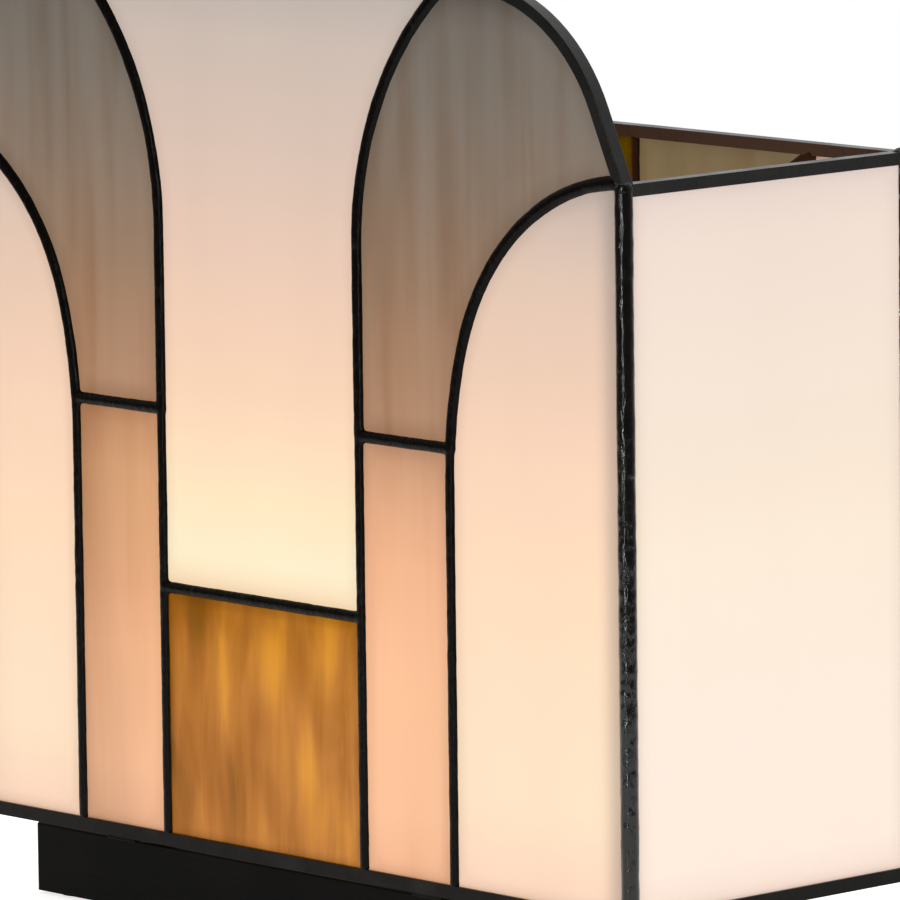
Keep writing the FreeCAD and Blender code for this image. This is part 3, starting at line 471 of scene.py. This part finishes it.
def filled(outline):
    """Fills an outline with even triangles and rings that follow its edge: points, triangles and edge."""
    edge = resampled(outline, EDGE_STEP)
    ahead = np.roll(edge, -1, axis=0) - np.roll(edge, 1, axis=0)
    inward = np.stack([-ahead[:, 1], ahead[:, 0]], axis=1) / np.linalg.norm(ahead, axis=1)[:, None]
    points = [edge]
    for distance in RINGS:
        ring = edge + inward * distance
        apart = nearest(ring, edge)[1]
        points.append(ring[(apart > distance * CROWDED) & inside(ring, edge)])
    low, high = edge.min(0), edge.max(0)
    columns, rows = np.arange(low[0], high[0], LATTICE), np.arange(low[1], high[1], LATTICE)
    lattice = np.stack(np.meshgrid(columns, rows), -1).reshape(-1, 2)
    lattice = lattice[inside(lattice, edge)]
    points.append(lattice[nearest(lattice, edge)[1] > RINGS[-1] + LATTICE * CLEAR])
    flat = [Vector(p) for p in np.concatenate(points)]
    border = [(i, (i + 1) % len(edge)) for i in range(len(edge))]
    made = geometry.delaunay_2d_cdt(flat, border, [], 1, WELD)
    return np.array([tuple(p) for p in made[0]]), made[2], edge


def new_object(name, data):
    """Adds an object with its data to the scene."""
    made = bpy.data.objects.new(name, data)
    bpy.context.scene.collection.objects.link(made)
    return made


def pane(name, node, wall, material, streaks=()):
    """A sheet of rolled glass in place of a flat CAD pane. It knows how far each point is from its edge."""
    flat, triangles, edge = filled(outline_of(node, wall))
    inner, outer = wall.depths(node)
    apart = nearest(flat, edge)[1]
    count = len(flat)
    points = []
    for depth, seed in ((outer, 0.0), (inner, 9.0)):
        for (across, height), distance in zip(flat, apart):
            place = Vector((across, seed, height))
            wave = noise.noise(place / WAVE_LONG) + 0.3 * noise.noise(place / WAVE_SHORT)
            held = min(1.0, distance / WAVE_START)
            points.append(wall.point(across, height, depth + RIPPLE * wave * held))
    faces = [tuple(t) for t in triangles]
    pairs = dict.fromkeys(pair for face in faces for pair in zip(face, face[1:] + face[:1]))
    rim = [pair for pair in pairs if pair[::-1] not in pairs]
    back = [tuple(i + count for i in reversed(face)) for face in faces]
    sides = [(b, a, a + count, b + count) for a, b in rim]
    mesh = bpy.data.meshes.new(name)
    mesh.from_pydata(points, [], faces + back + sides)
    mesh.polygons.foreach_set("use_smooth", [True] * (2 * len(faces)) + [False] * len(sides))
    mesh.attributes.new("edge", "FLOAT", "POINT").data.foreach_set("value", np.tile(apart, 2))
    if streaks:
        bright = np.full(count, STREAK_BASE)
        for across, height, half_width, half_height, strength in streaks:
            away = ((flat[:, 0] - across) / half_width) ** 2 + ((flat[:, 1] - height) / half_height) ** 2
            bright += strength * np.exp(-away)
        mesh.attributes.new("streak", "FLOAT", "POINT").data.foreach_set("value", np.tile(bright, 2))
    made = new_object(name, mesh)
    mesh.materials.append(material)
    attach(made, "shade")
    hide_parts(node)


# Lit colours, as (height over the glass foot in mm, red, green, blue)
CENTRE_GLOW = [(82, 253, 222, 184), (95, 253, 238, 203), (115, 254, 231, 193), (130, 254, 223, 190),
               (150, 249, 213, 183), (190, 235, 202, 181), (230, 217, 193, 178), (265, 203, 186, 175),
               (288, 181, 173, 166)]
OPAL_GLOW = [(0, 250, 214, 190), (30, 254, 226, 195), (60, 253, 224, 193), (100, 254, 220, 188),
             (140, 248, 212, 185), (180, 233, 201, 179), (200, 224, 197, 178), (215, 212, 189, 175),
             (231, 188, 172, 162)]
SIDE_GLOW = [(0, 249, 225, 210), (12, 254, 235, 220), (50, 254, 236, 221), (110, 253, 236, 216),
             (130, 250, 232, 213), (170, 246, 228, 213), (210, 241, 223, 210), (231, 230, 212, 204)]
PEACH_GLOW = [(0, 245, 186, 147), (20, 253, 196, 155), (60, 253, 195, 153), (80, 250, 191, 150),
              (100, 244, 185, 145), (120, 228, 173, 136), (141, 194, 148, 118)]
PEACH_LEFT_GLOW = [(0, 226, 172, 136), (20, 240, 184, 144), (60, 238, 180, 138), (80, 226, 169, 128),
                   (100, 219, 165, 123), (120, 214, 162, 121), (141, 188, 138, 103)]
GREY_GLOW = [(141, 174, 134, 106), (150, 181, 141, 113), (175, 169, 135, 110), (190, 158, 130, 108),
             (220, 144, 126, 111), (250, 131, 121, 111), (275, 121, 114, 106), (288, 100, 94, 88)]
BEIGE_GLOW = [(0, 232, 206, 160), (60, 236, 208, 158), (130, 206, 180, 138), (190, 140, 126, 98),
              (231, 128, 117, 94)]

# Painted shade: what is left of the amber pieces' colour, as (height in the same way, red, green, blue)
# # from 0 to 1
AMBER_DIMMING = [(0, 1.0, 1.0, 0.82), (46, 1.0, 1.0, 0.80), (66, 0.96, 0.96, 0.55), (82, 0.82, 0.78, 0.25)]
BACK_AMBER_DIMMING = [(149, 0.80, 0.78, 0.6), (200, 0.32, 0.44, 0.20), (231, 0.20, 0.34, 0.12)]

# Bright and dark streaks of the amber pieces, in mm: across, height over the glass foot, half width,
# half height, and strength from -1 to 1
FRONT_STREAKS = [
    (-20, 55, 6.5, 22, 0.38), (4, 62, 6.5, 18, 0.36), (29, 66, 6.5, 14, 0.3),
    (20, 25, 6.0, 18, 0.4), (-3, 8, 5.0, 14, 0.22), (40, 10, 8.0, 14, 0.28),
    (-41, 55, 4.0, 13, 0.12), (-33, 8, 4.0, 10, 0.16), (-30, 78, 12.0, 14, -0.3),
    (-9, 58, 3.5, 14, -0.08), (15, 72, 4.0, 14, -0.14), (-20, 22, 12.0, 18, -0.32),
    (-38, 20, 7.0, 14, -0.04), (0, 44, 7.0, 9, -0.16), (-45, 38, 6.0, 60, -0.26),
    (-8, 36, 8.0, 12, -0.12), (12, 74, 9.0, 12, 0.12), (32, 34, 7.0, 12, -0.12),
    (38, 76, 8.0, 8, 0.12),
]
BACK_STREAKS = [
    (-30, 190, 7.0, 24, 0.25), (-6, 175, 6.0, 20, 0.3), (22, 200, 7.0, 26, 0.25),
    (38, 170, 6.0, 16, 0.2), (8, 215, 8.0, 18, -0.2),
]


def in_metres(streaks):
    """A table of streaks in metres, with its heights measured from the table."""
    return [(a * MILLIMETRE, h * MILLIMETRE + GLASS_FOOT, w * MILLIMETRE, t * MILLIMETRE, s)
            for a, h, w, t, s in streaks]


def make_panes():
    """Every piece of glass, and which material it is cut from."""
    opal = rgb(186, 176, 168)
    centre = glass_paint("opal_centre", opal, CENTRE_GLOW, fade=0.07, streak=0.012, grain=0.02)
    opal_front = glass_paint("opal_front", opal, OPAL_GLOW, fade=0.10, streak=0.012, grain=0.02,
                             corner=(0.157, 0.46))
    # painted light: the left half of the front wall shows less light, so its opal and peach pieces are
    # darker copies
    opal_left = glass_paint("opal_front_left", opal, OPAL_GLOW, fade=0.12, streak=0.02, grain=0.02,
                            corner=(0.120, 0.40), shift=2.0)
    opal_side = glass_paint("opal_side", opal, SIDE_GLOW, fade=0.05, streak=0.008, grain=0.024,
                            studio=STUDIO_SIDE)
    peach = rgb(190, 150, 125)
    peach_right = glass_paint("peach_right", peach, PEACH_GLOW, fade=0.12, streak=0.02, grain=0.014,
                              wisp=(rgb(240, 233, 226), 0.5), lean=(0.050, 0.089, 1.01, 0.95))
    peach_left = glass_paint("peach_left", peach, PEACH_LEFT_GLOW, fade=0.10, streak=0.035, grain=0.014,
                             wisp=(rgb(238, 230, 222), 0.6), lean=(-0.089, -0.051, 0.86, 1.08), shift=5.0)
    grey = rgb(98, 92, 86)
    grey_wisp = (rgb(228, 212, 198), 0.7)
    grey_right = glass_paint("grey_right", grey, GREY_GLOW, fade=0.13, fade_width=0.007, streak=0.06,
                             grain=0.016, wisp=grey_wisp)
    grey_left = glass_paint("grey_left", grey, GREY_GLOW, fade=0.13, fade_width=0.007, streak=0.06,
                            grain=0.016, wisp=grey_wisp, shift=8.0)
    beige = glass_paint("beige_back", rgb(112, 99, 80), BEIGE_GLOW, fade=0.10, streak=0.06, grain=0.010,
                        wisp=(rgb(232, 226, 212), 0.5), shift=1.0)
    amber_front = amber_paint("amber_front", AMBER_DIMMING)
    amber_back = amber_paint("amber_back", BACK_AMBER_DIMMING)
    front, back = WALLS["front"], WALLS["back"]
    pane("glass_front_amber", "front_amber_glass", front, amber_front,
         in_metres(FRONT_STREAKS))
    pane("glass_front_centre", "front_centre_glass", front, centre)
    pane("glass_back_amber", "back_amber_glass", back, amber_back,
         in_metres(BACK_STREAKS))
    pane("glass_back_centre", "back_centre_glass", back, opal_front)
    sided = {"left": (peach_left, grey_left, opal_left), "right": (peach_right, grey_right, opal_front)}
    for side, (peach_made, grey_made, opal_made) in sided.items():
        pane(f"glass_front_peach_{side}", f"front_peach_glass_{side}", front, peach_made)
        pane(f"glass_front_grey_{side}", f"front_grey_glass_{side}", front, grey_made)
        pane(f"glass_front_opal_{side}", f"front_opal_glass_{side}", front, opal_made)
        pane(f"glass_back_beige_{side}", f"back_beige_glass_{side}", back, beige)
        pane(f"glass_back_opal_{side}", f"back_opal_glass_{side}", back, opal_made)
        pane(f"glass_side_{side}", f"side_opal_glass_{side}", WALLS[side], opal_side)


# ---------------------------------------------------------------- solder

JOINT_GAP = 0.0012  # panes closer than this are soldered to each other
RUN_STEP = 0.0014  # spacing of the points along a run of solder
LINE_HALF = 0.0022  # half the width of a straight run
CURVE_HALF = 0.0026  # half the width of a run along a curve
LINE_DEPTH = 0.0029  # from the middle of the wall to the top of a run
DROP_WIDTH, DROP_DEPTH = 1.12, 1.03  # size of the drop at the end of a run, against the run
SEAM_WIDTH, SEAM_DEPTH = 1.02, 1.04  # size of a corner seam, against its CAD radius
SEAM_DROP_WIDTH, SEAM_DROP_DEPTH = 1.12, 0.95  # size of the drops at its ends
VOXEL = 0.0006  # size of the cells that melt the runs into one skin
RING_SIDES = 14
SHORTEST = 4  # fewest points of an outline along a joint
ROUNDNESS = 0.8  # 1 gives a run an oval section, less makes it squarer
SWELL_LONG, SWELL_SHORT = 0.014, 0.005  # lengths over which a run swells and thins
LUMP_LONG, LUMP_SHORT = 0.006, 0.0024  # sizes of the lumps in its skin
STRAIGHT = 0.0005  # a run longer than its chord by more than this is a curve


def shared_line(first, second):
    """The middle of the joint between two outlines, as flat points from end to end, or None."""
    points = resampled(first, RUN_STEP)
    places, apart = nearest(points, second)
    beside = apart < JOINT_GAP
    if beside.sum() < SHORTEST:
        return None
    start = next(i for i in range(len(points)) if beside[i] and not beside[i - 1])
    order = [(start + i) % len(points) for i in range(len(points))]
    run = list(itertools.takewhile(lambda i: beside[i], order))
    return (points[run] + places[run]) / 2


def add_run(mesh, points, outward, half_width, half_depth, wobble=0.06):
    """Adds one run of solder along the points. wobble is how much its width swells and thins."""
    rings = []
    last = len(points) - 1
    for index, point in enumerate(points):
        along = (points[min(index + 1, last)] - points[max(index - 1, 0)]).normalized()
        sideways = along.cross(outward)
        swell = 1 + wobble * noise.noise(point / SWELL_LONG)
        swell += wobble * 0.4 * noise.noise(point / SWELL_SHORT)
        ring = []
        for step in range(RING_SIDES):
            turn = math.tau * step / RING_SIDES
            wide = math.copysign(abs(math.cos(turn)) ** ROUNDNESS, math.cos(turn)) * half_width * swell
            deep = math.copysign(abs(math.sin(turn)) ** ROUNDNESS, math.sin(turn)) * half_depth
            ring.append(mesh.verts.new(point + sideways * wide + outward * deep))
        rings.append(ring)
    for ring, following in zip(rings, rings[1:]):
        for i in range(RING_SIDES):
            j = (i + 1) % RING_SIDES
            mesh.faces.new((ring[i], ring[j], following[j], following[i]))
    mesh.faces.new(rings[0][::-1])
    mesh.faces.new(rings[-1])


def add_blob(mesh, place, outward, half_width, half_depth):
    """Adds a rounded drop of solder, as is left where runs meet."""
    facing = outward.to_track_quat("Z", "Y")
    matrix = Matrix.LocRotScale(place, facing, Vector((half_width, half_width, half_depth)))
    bmesh.ops.create_icosphere(mesh, subdivisions=3, radius=1.0, matrix=matrix)


def soldered(name, mesh, material, rough=0.00009, smooth=4):
    """Melts the runs and drops in the mesh into one skin, uneven like solder drawn out by hand. rough is
    the height of its lumps and smooth how often it is evened out."""
    bmesh.ops.recalc_face_normals(mesh, faces=mesh.faces[:])
    data = bpy.data.meshes.new(name)
    mesh.to_mesh(data)
    mesh.free()
    made = new_object(name, data)
    skin = made.modifiers.new("skin", "REMESH")
    skin.mode = "VOXEL"
    skin.voxel_size = VOXEL
    flow = made.modifiers.new("flow", "SMOOTH")
    flow.factor = 0.5
    flow.iterations = smooth
    view = bpy.context.evaluated_depsgraph_get()
    made.data = bpy.data.meshes.new_from_object(made.evaluated_get(view))
    made.modifiers.clear()
    places, normals = (np.zeros(len(made.data.vertices) * 3) for _ in range(2))
    made.data.vertices.foreach_get("co", places)
    made.data.vertices.foreach_get("normal", normals)
    lumps = [noise.noise(place / LUMP_LONG) + 0.7 * noise.noise(place / LUMP_SHORT)
             for place in map(Vector, places.reshape(-1, 3))]
    made.data.vertices.foreach_set("co", places + normals * np.repeat(lumps, 3) * rough)
    made.data.update()
    made.data.polygons.foreach_set("use_smooth", [True] * len(made.data.polygons))
    made.data.materials.clear()
    made.data.materials.append(material)
    return made


def wall_solder(side, panes, lines, material):
    """The soldered lines of a patterned wall, run along the joints between its panes."""
    wall = WALLS[side]
    inner, outer = wall.depths(panes[0])
    depth = (inner + outer) / 2
    low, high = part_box(lines)
    outlines = [outline_of(node, wall) for node in panes]
    mesh = bmesh.new()
    for first, second in itertools.combinations(outlines, 2):
        line = shared_line(first, second)
        if line is None:
            continue
        points = [wall.point(across, height, depth) for across, height in line]
        points = [p for p in points if low.x <= p.x <= high.x and low.z <= p.z <= high.z]
        ends = points[-1] - points[0]
        length = sum((b - a).length for a, b in zip(points, points[1:]))
        half = LINE_HALF if length - ends.length < STRAIGHT else CURVE_HALF
        add_run(mesh, points, wall.outward, half, LINE_DEPTH)
        for end in (points[0], points[-1]):
            add_blob(mesh, end, wall.outward, half * DROP_WIDTH, LINE_DEPTH * DROP_DEPTH)
    made = soldered(f"solder_lines_{side}", mesh, material)
    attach(made, "shade")
    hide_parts(lines)


def corner_solder(node, material):
    """The thick seam down a corner of the shade, with drops where the rails meet it."""
    low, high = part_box(node)
    centre = (low + high) / 2
    radius = (high.x - low.x) / 2
    outward = Vector((math.copysign(1, centre.x), math.copysign(1, centre.y), 0)).normalized()
    count = int((high.z - low.z) / RUN_STEP)
    rise = (high.z - low.z - radius) / count
    points = [Vector((centre.x, centre.y, low.z + radius / 2 + rise * i)) for i in range(count + 1)]
    mesh = bmesh.new()
    add_run(mesh, points, outward, radius * SEAM_WIDTH, radius * SEAM_DEPTH, wobble=0.04)
    for end in (points[0], points[-1]):
        add_blob(mesh, end, UP, radius * SEAM_DROP_WIDTH, radius * SEAM_DROP_DEPTH)
    made = soldered(f"seam_{node}", mesh, material, rough=0.00010, smooth=3)
    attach(made, "shade")
    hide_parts(node)


def make_solder():
    """The lines of both patterned walls and the seams of all four corners."""
    flat_runs = solder_paint("solder_lines", 0.07, 0.16, 0.34)
    seams = solder_paint("solder_seams", 0.45, 0.10, 0.20)
    front = ["front_amber_glass", "front_centre_glass"]
    back = ["back_amber_glass", "back_centre_glass"]
    for side in ("left", "right"):
        front += [f"front_{colour}_glass_{side}" for colour in ("peach", "grey", "opal")]
        back += [f"back_{colour}_glass_{side}" for colour in ("beige", "opal")]
    wall_solder("front", front, "front_lead_lines", flat_runs)
    wall_solder("back", back, "back_lead_lines", flat_runs)
    for place in ("front_left", "front_right", "back_left", "back_right"):
        corner_solder(f"corner_bead_{place}", seams)


# ---------------------------------------------------------------- rails, rim and straps


ROUNDING = 0.0006  # of the edges of a drawn channel
STRAP_ROUNDING = 0.0004
COPLANAR = math.radians(0.5)  # CAD facets that meet at less than this are one face
SHARP = math.radians(35)  # edges that turn by more than this are rounded


def channel(node, material, rounding=ROUNDING):
    """A drawn channel in place of the CAD node, with its edges rounded."""
    mesh = bmesh.new()
    mesh.from_mesh(frame["nodes"][node].data)
    bmesh.ops.remove_doubles(mesh, verts=mesh.verts[:], dist=WELD)
    bmesh.ops.dissolve_limit(mesh, angle_limit=COPLANAR, verts=mesh.verts[:], edges=mesh.edges[:])
    sharp = [edge for edge in mesh.edges if edge.is_manifold and edge.calc_face_angle() > SHARP]
    bmesh.ops.bevel(mesh, geom=sharp, offset=rounding, offset_type="OFFSET", segments=3, profile=0.5,
                    affect="EDGES", clamp_overlap=True)
    bmesh.ops.triangulate(mesh, faces=mesh.faces[:])
    data = bpy.data.meshes.new(f"channel_{node}")
    mesh.to_mesh(data)
    mesh.free()
    data.polygons.foreach_set("use_smooth", [True] * len(data.polygons))
    made = new_object(f"channel_{node}", data)
    made.modifiers.new("even_light", "WEIGHTED_NORMAL").keep_sharp = False
    data.materials.append(material)
    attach(made, "shade")
    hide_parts(node)


def make_channels():
    """The rails, the rim and the straps, duller where the lamp is in its own shadow."""
    shaded = channel_paint("channel_low", 0.08)
    bright = channel_paint("channel_high", 0.5, roughness=0.30)
    # painted shade: the straps sit in the gap under the shade, so their shine is cut down
    strap_in_shade = channel_paint("strap_patina_in_shade", 0.02)
    for side in ("front", "back", "left", "right"):
        channel(f"bottom_rail_{side}", shaded)
    for side in ("back", "left", "right"):
        channel(f"top_rail_{side}", bright)
    channel("front_rim", bright)
    for side in ("left", "right"):
        channel(f"cross_strap_{side}", strap_in_shade, STRAP_ROUNDING)


# ---------------------------------------------------------------- parts that keep their CAD shape


def paint_nodes():
    """Gives every CAD node that stays in view the material of its slot."""
    paints = {
        "black_lacquer": lacquer_paint(),
        "cover_steel": moulded_paint("powder_coat", rgb(30, 30, 30), rgb(36, 36, 35), 0.55, grain=0.0006),
        "steel_screws": metal_paint("screw_steel", rgb(170, 170, 168), rgb(128, 128, 126), 0.3),
        "pad_rubber": moulded_paint("pad_rubber", rgb(26, 26, 26), rgb(34, 34, 33), 0.8, 0.25),
        "grommet_rubber": moulded_paint("grommet_rubber", rgb(24, 24, 24), rgb(30, 30, 30), 0.6, 0.3),
        "zinc_steel": metal_paint("zinc_steel", rgb(176, 174, 168), rgb(140, 138, 132), 0.32),
        "nut_brass": metal_paint("knurled_brass", rgb(170, 132, 74), rgb(112, 84, 44), 0.34),
        "holder_black": moulded_paint("holder_black", rgb(18, 18, 18), rgb(24, 24, 24), 0.28, 0.5),
        "porcelain": moulded_paint("porcelain", rgb(226, 222, 212), rgb(214, 208, 196), 0.16, 0.5),
        "contact_brass": metal_paint("contact_brass", rgb(206, 168, 96), rgb(176, 138, 74), 0.22),
        "contact_solder": metal_paint("contact_solder", rgb(176, 176, 172), rgb(140, 140, 138), 0.36),
        "insulator_glass": moulded_paint("insulator_glass", rgb(26, 20, 26), rgb(34, 26, 32), 0.12, 0.6),
        "cap_nickel": metal_paint("cap_nickel", rgb(200, 198, 192), rgb(168, 166, 160), 0.24),
        "bulb_opal": bulb_paint(),
    }
    for part in frame["record"]["subparts"]:
        node = frame["nodes"][part["node"]]
        if not node.hide_render:
            node.data.materials.clear()
            node.data.materials.append(paints[part["material_slot"]])


# ---------------------------------------------------------------- floor, light and camera


FLOOR_RADIUS = 0.8
FLOOR_DROP = 0.1 * MILLIMETRE  # keeps the floor out of the plane of the feet


def make_floor():
    """A pale floor that runs out into the white of the room."""
    bpy.ops.mesh.primitive_circle_add(vertices=96, radius=FLOOR_RADIUS, fill_type="NGON")
    floor = bpy.context.object
    floor.name = "studio_floor"
    floor.location.z = -FLOOR_DROP
    paint = Paint("studio_floor")
    tone = paint.spread(paint.noise(0.4, detail=2.0), 0.3, 0.7, 0.0, 1.0)
    paint.set(Base_Color=paint.mix(tone, rgb(240, 240, 240), rgb(243, 243, 243)), Roughness=0.9)
    paint.set(Emission_Color=(1, 1, 1, 1), Emission_Strength=0.75, Specular_IOR_Level=0.1)
    floor.data.materials.append(paint.material)


BACKDROP = Vector((-0.30, 0.82, 0.44)).normalized()  # towards the bright end of the studio
DARK_END, MIDDLE, BRIGHT_END = 0.05, 0.16, 0.85  # brightness of the studio from end to end
MIDDLE_PLACE = 0.55


def make_world():
    """A room that looks white. Its light is bright behind and above the lamp and dim in front of it."""
    world = bpy.data.worlds.new("studio")
    bpy.context.scene.world = world
    world.use_nodes = True
    tree = world.node_tree
    tree.nodes.clear()
    coordinates = tree.nodes.new("ShaderNodeTexCoord")
    towards = tree.nodes.new("ShaderNodeVectorMath")
    towards.operation = "DOT_PRODUCT"
    towards.inputs[1].default_value = BACKDROP
    span = tree.nodes.new("ShaderNodeMapRange")
    span.inputs["From Min"].default_value = -1.0
    ramp = tree.nodes.new("ShaderNodeValToRGB")
    elements = ramp.color_ramp.elements
    elements.new(MIDDLE_PLACE)
    for element, brightness in zip(elements, (DARK_END, MIDDLE, BRIGHT_END)):
        element.color = (brightness, brightness, brightness, 1)
    room = tree.nodes.new("ShaderNodeBackground")
    white = tree.nodes.new("ShaderNodeBackground")
    white.inputs["Color"].default_value = (1, 1, 1, 1)
    path = tree.nodes.new("ShaderNodeLightPath")
    choose = tree.nodes.new("ShaderNodeMixShader")
    output = tree.nodes.new("ShaderNodeOutputWorld")
    for source, target in (
        (coordinates.outputs["Generated"], towards.inputs[0]),
        (towards.outputs["Value"], span.inputs["Value"]),
        (span.outputs[0], ramp.inputs[0]),
        (ramp.outputs[0], room.inputs["Color"]),
        (path.outputs["Is Camera Ray"], choose.inputs[0]),
        (room.outputs[0], choose.inputs[1]),
        (white.outputs[0], choose.inputs[2]),
        (choose.outputs[0], output.inputs["Surface"]),
    ):
        tree.links.new(source, target)


def soft_light(name, direction, distance, wide, tall, power):
    """A flat light that looks at the middle of the object. power is in watts."""
    low, high = cad_box
    centre = (low + high) / 2
    data = bpy.data.lights.new(name, "AREA")
    data.shape = "RECTANGLE"
    data.size, data.size_y = wide, tall
    data.energy = power
    lamp = new_object(name, data)
    away = Vector(direction).normalized()
    lamp.location = centre + away * distance
    lamp.rotation_mode = "QUATERNION"
    lamp.rotation_quaternion = away.to_track_quat("Z", "Y")


def make_lights():
    """Weak lights in front, a stronger one above, and a narrow upright one that glints on the solder."""
    soft_light("key", (0.9, -1.3, 1.2), distance=2.4, wide=1.1, tall=1.1, power=2)
    soft_light("fill", (-1.4, -1.0, 0.8), distance=2.6, wide=1.4, tall=1.4, power=2)
    soft_light("top", (0.1, 0.3, 2.0), distance=2.4, wide=1.6, tall=1.6, power=8)
    soft_light("glint", (0.42, -0.91, 0.10), distance=2.2, wide=0.04, tall=1.1, power=12)


CAMERA_TURN = math.radians(47.369)  # to the right of the patterned wall
CAMERA_RISE = math.radians(8.068)  # above the level of the lamp
CAMERA_ROLL = math.radians(-0.718)
CAMERA_DISTANCE = 3.21889
CAMERA_LENS = 389.46  # in mm, on a sensor that is SENSOR_WIDTH across
SENSOR_WIDTH = 36
AIM = Vector((-0.00219, 0.02329, 0.15605))  # what the middle of the picture shows


def make_camera():
    """The photographer's long lens, a little above the lamp and close in on its right end."""
    back = Vector((
        math.sin(CAMERA_TURN) * math.cos(CAMERA_RISE),
        -math.cos(CAMERA_TURN) * math.cos(CAMERA_RISE),
        math.sin(CAMERA_RISE),
    ))
    data = bpy.data.cameras.new("camera")
    data.lens = CAMERA_LENS
    data.sensor_width = SENSOR_WIDTH
    data.clip_start, data.clip_end = 0.1, 60
    camera = new_object("camera", data)
    camera.location = AIM + back * CAMERA_DISTANCE
    camera.rotation_mode = "QUATERNION"
    level = back.to_track_quat("Z", "Y")
    camera.rotation_quaternion = level @ Matrix.Rotation(CAMERA_ROLL, 3, "Z").to_quaternion()
    bpy.context.scene.camera = camera


make_camera()
make_panes()
make_solder()
make_channels()
paint_nodes()
make_floor()
make_world()
make_lights()
bpy.context.scene.view_settings.view_transform = "Standard"
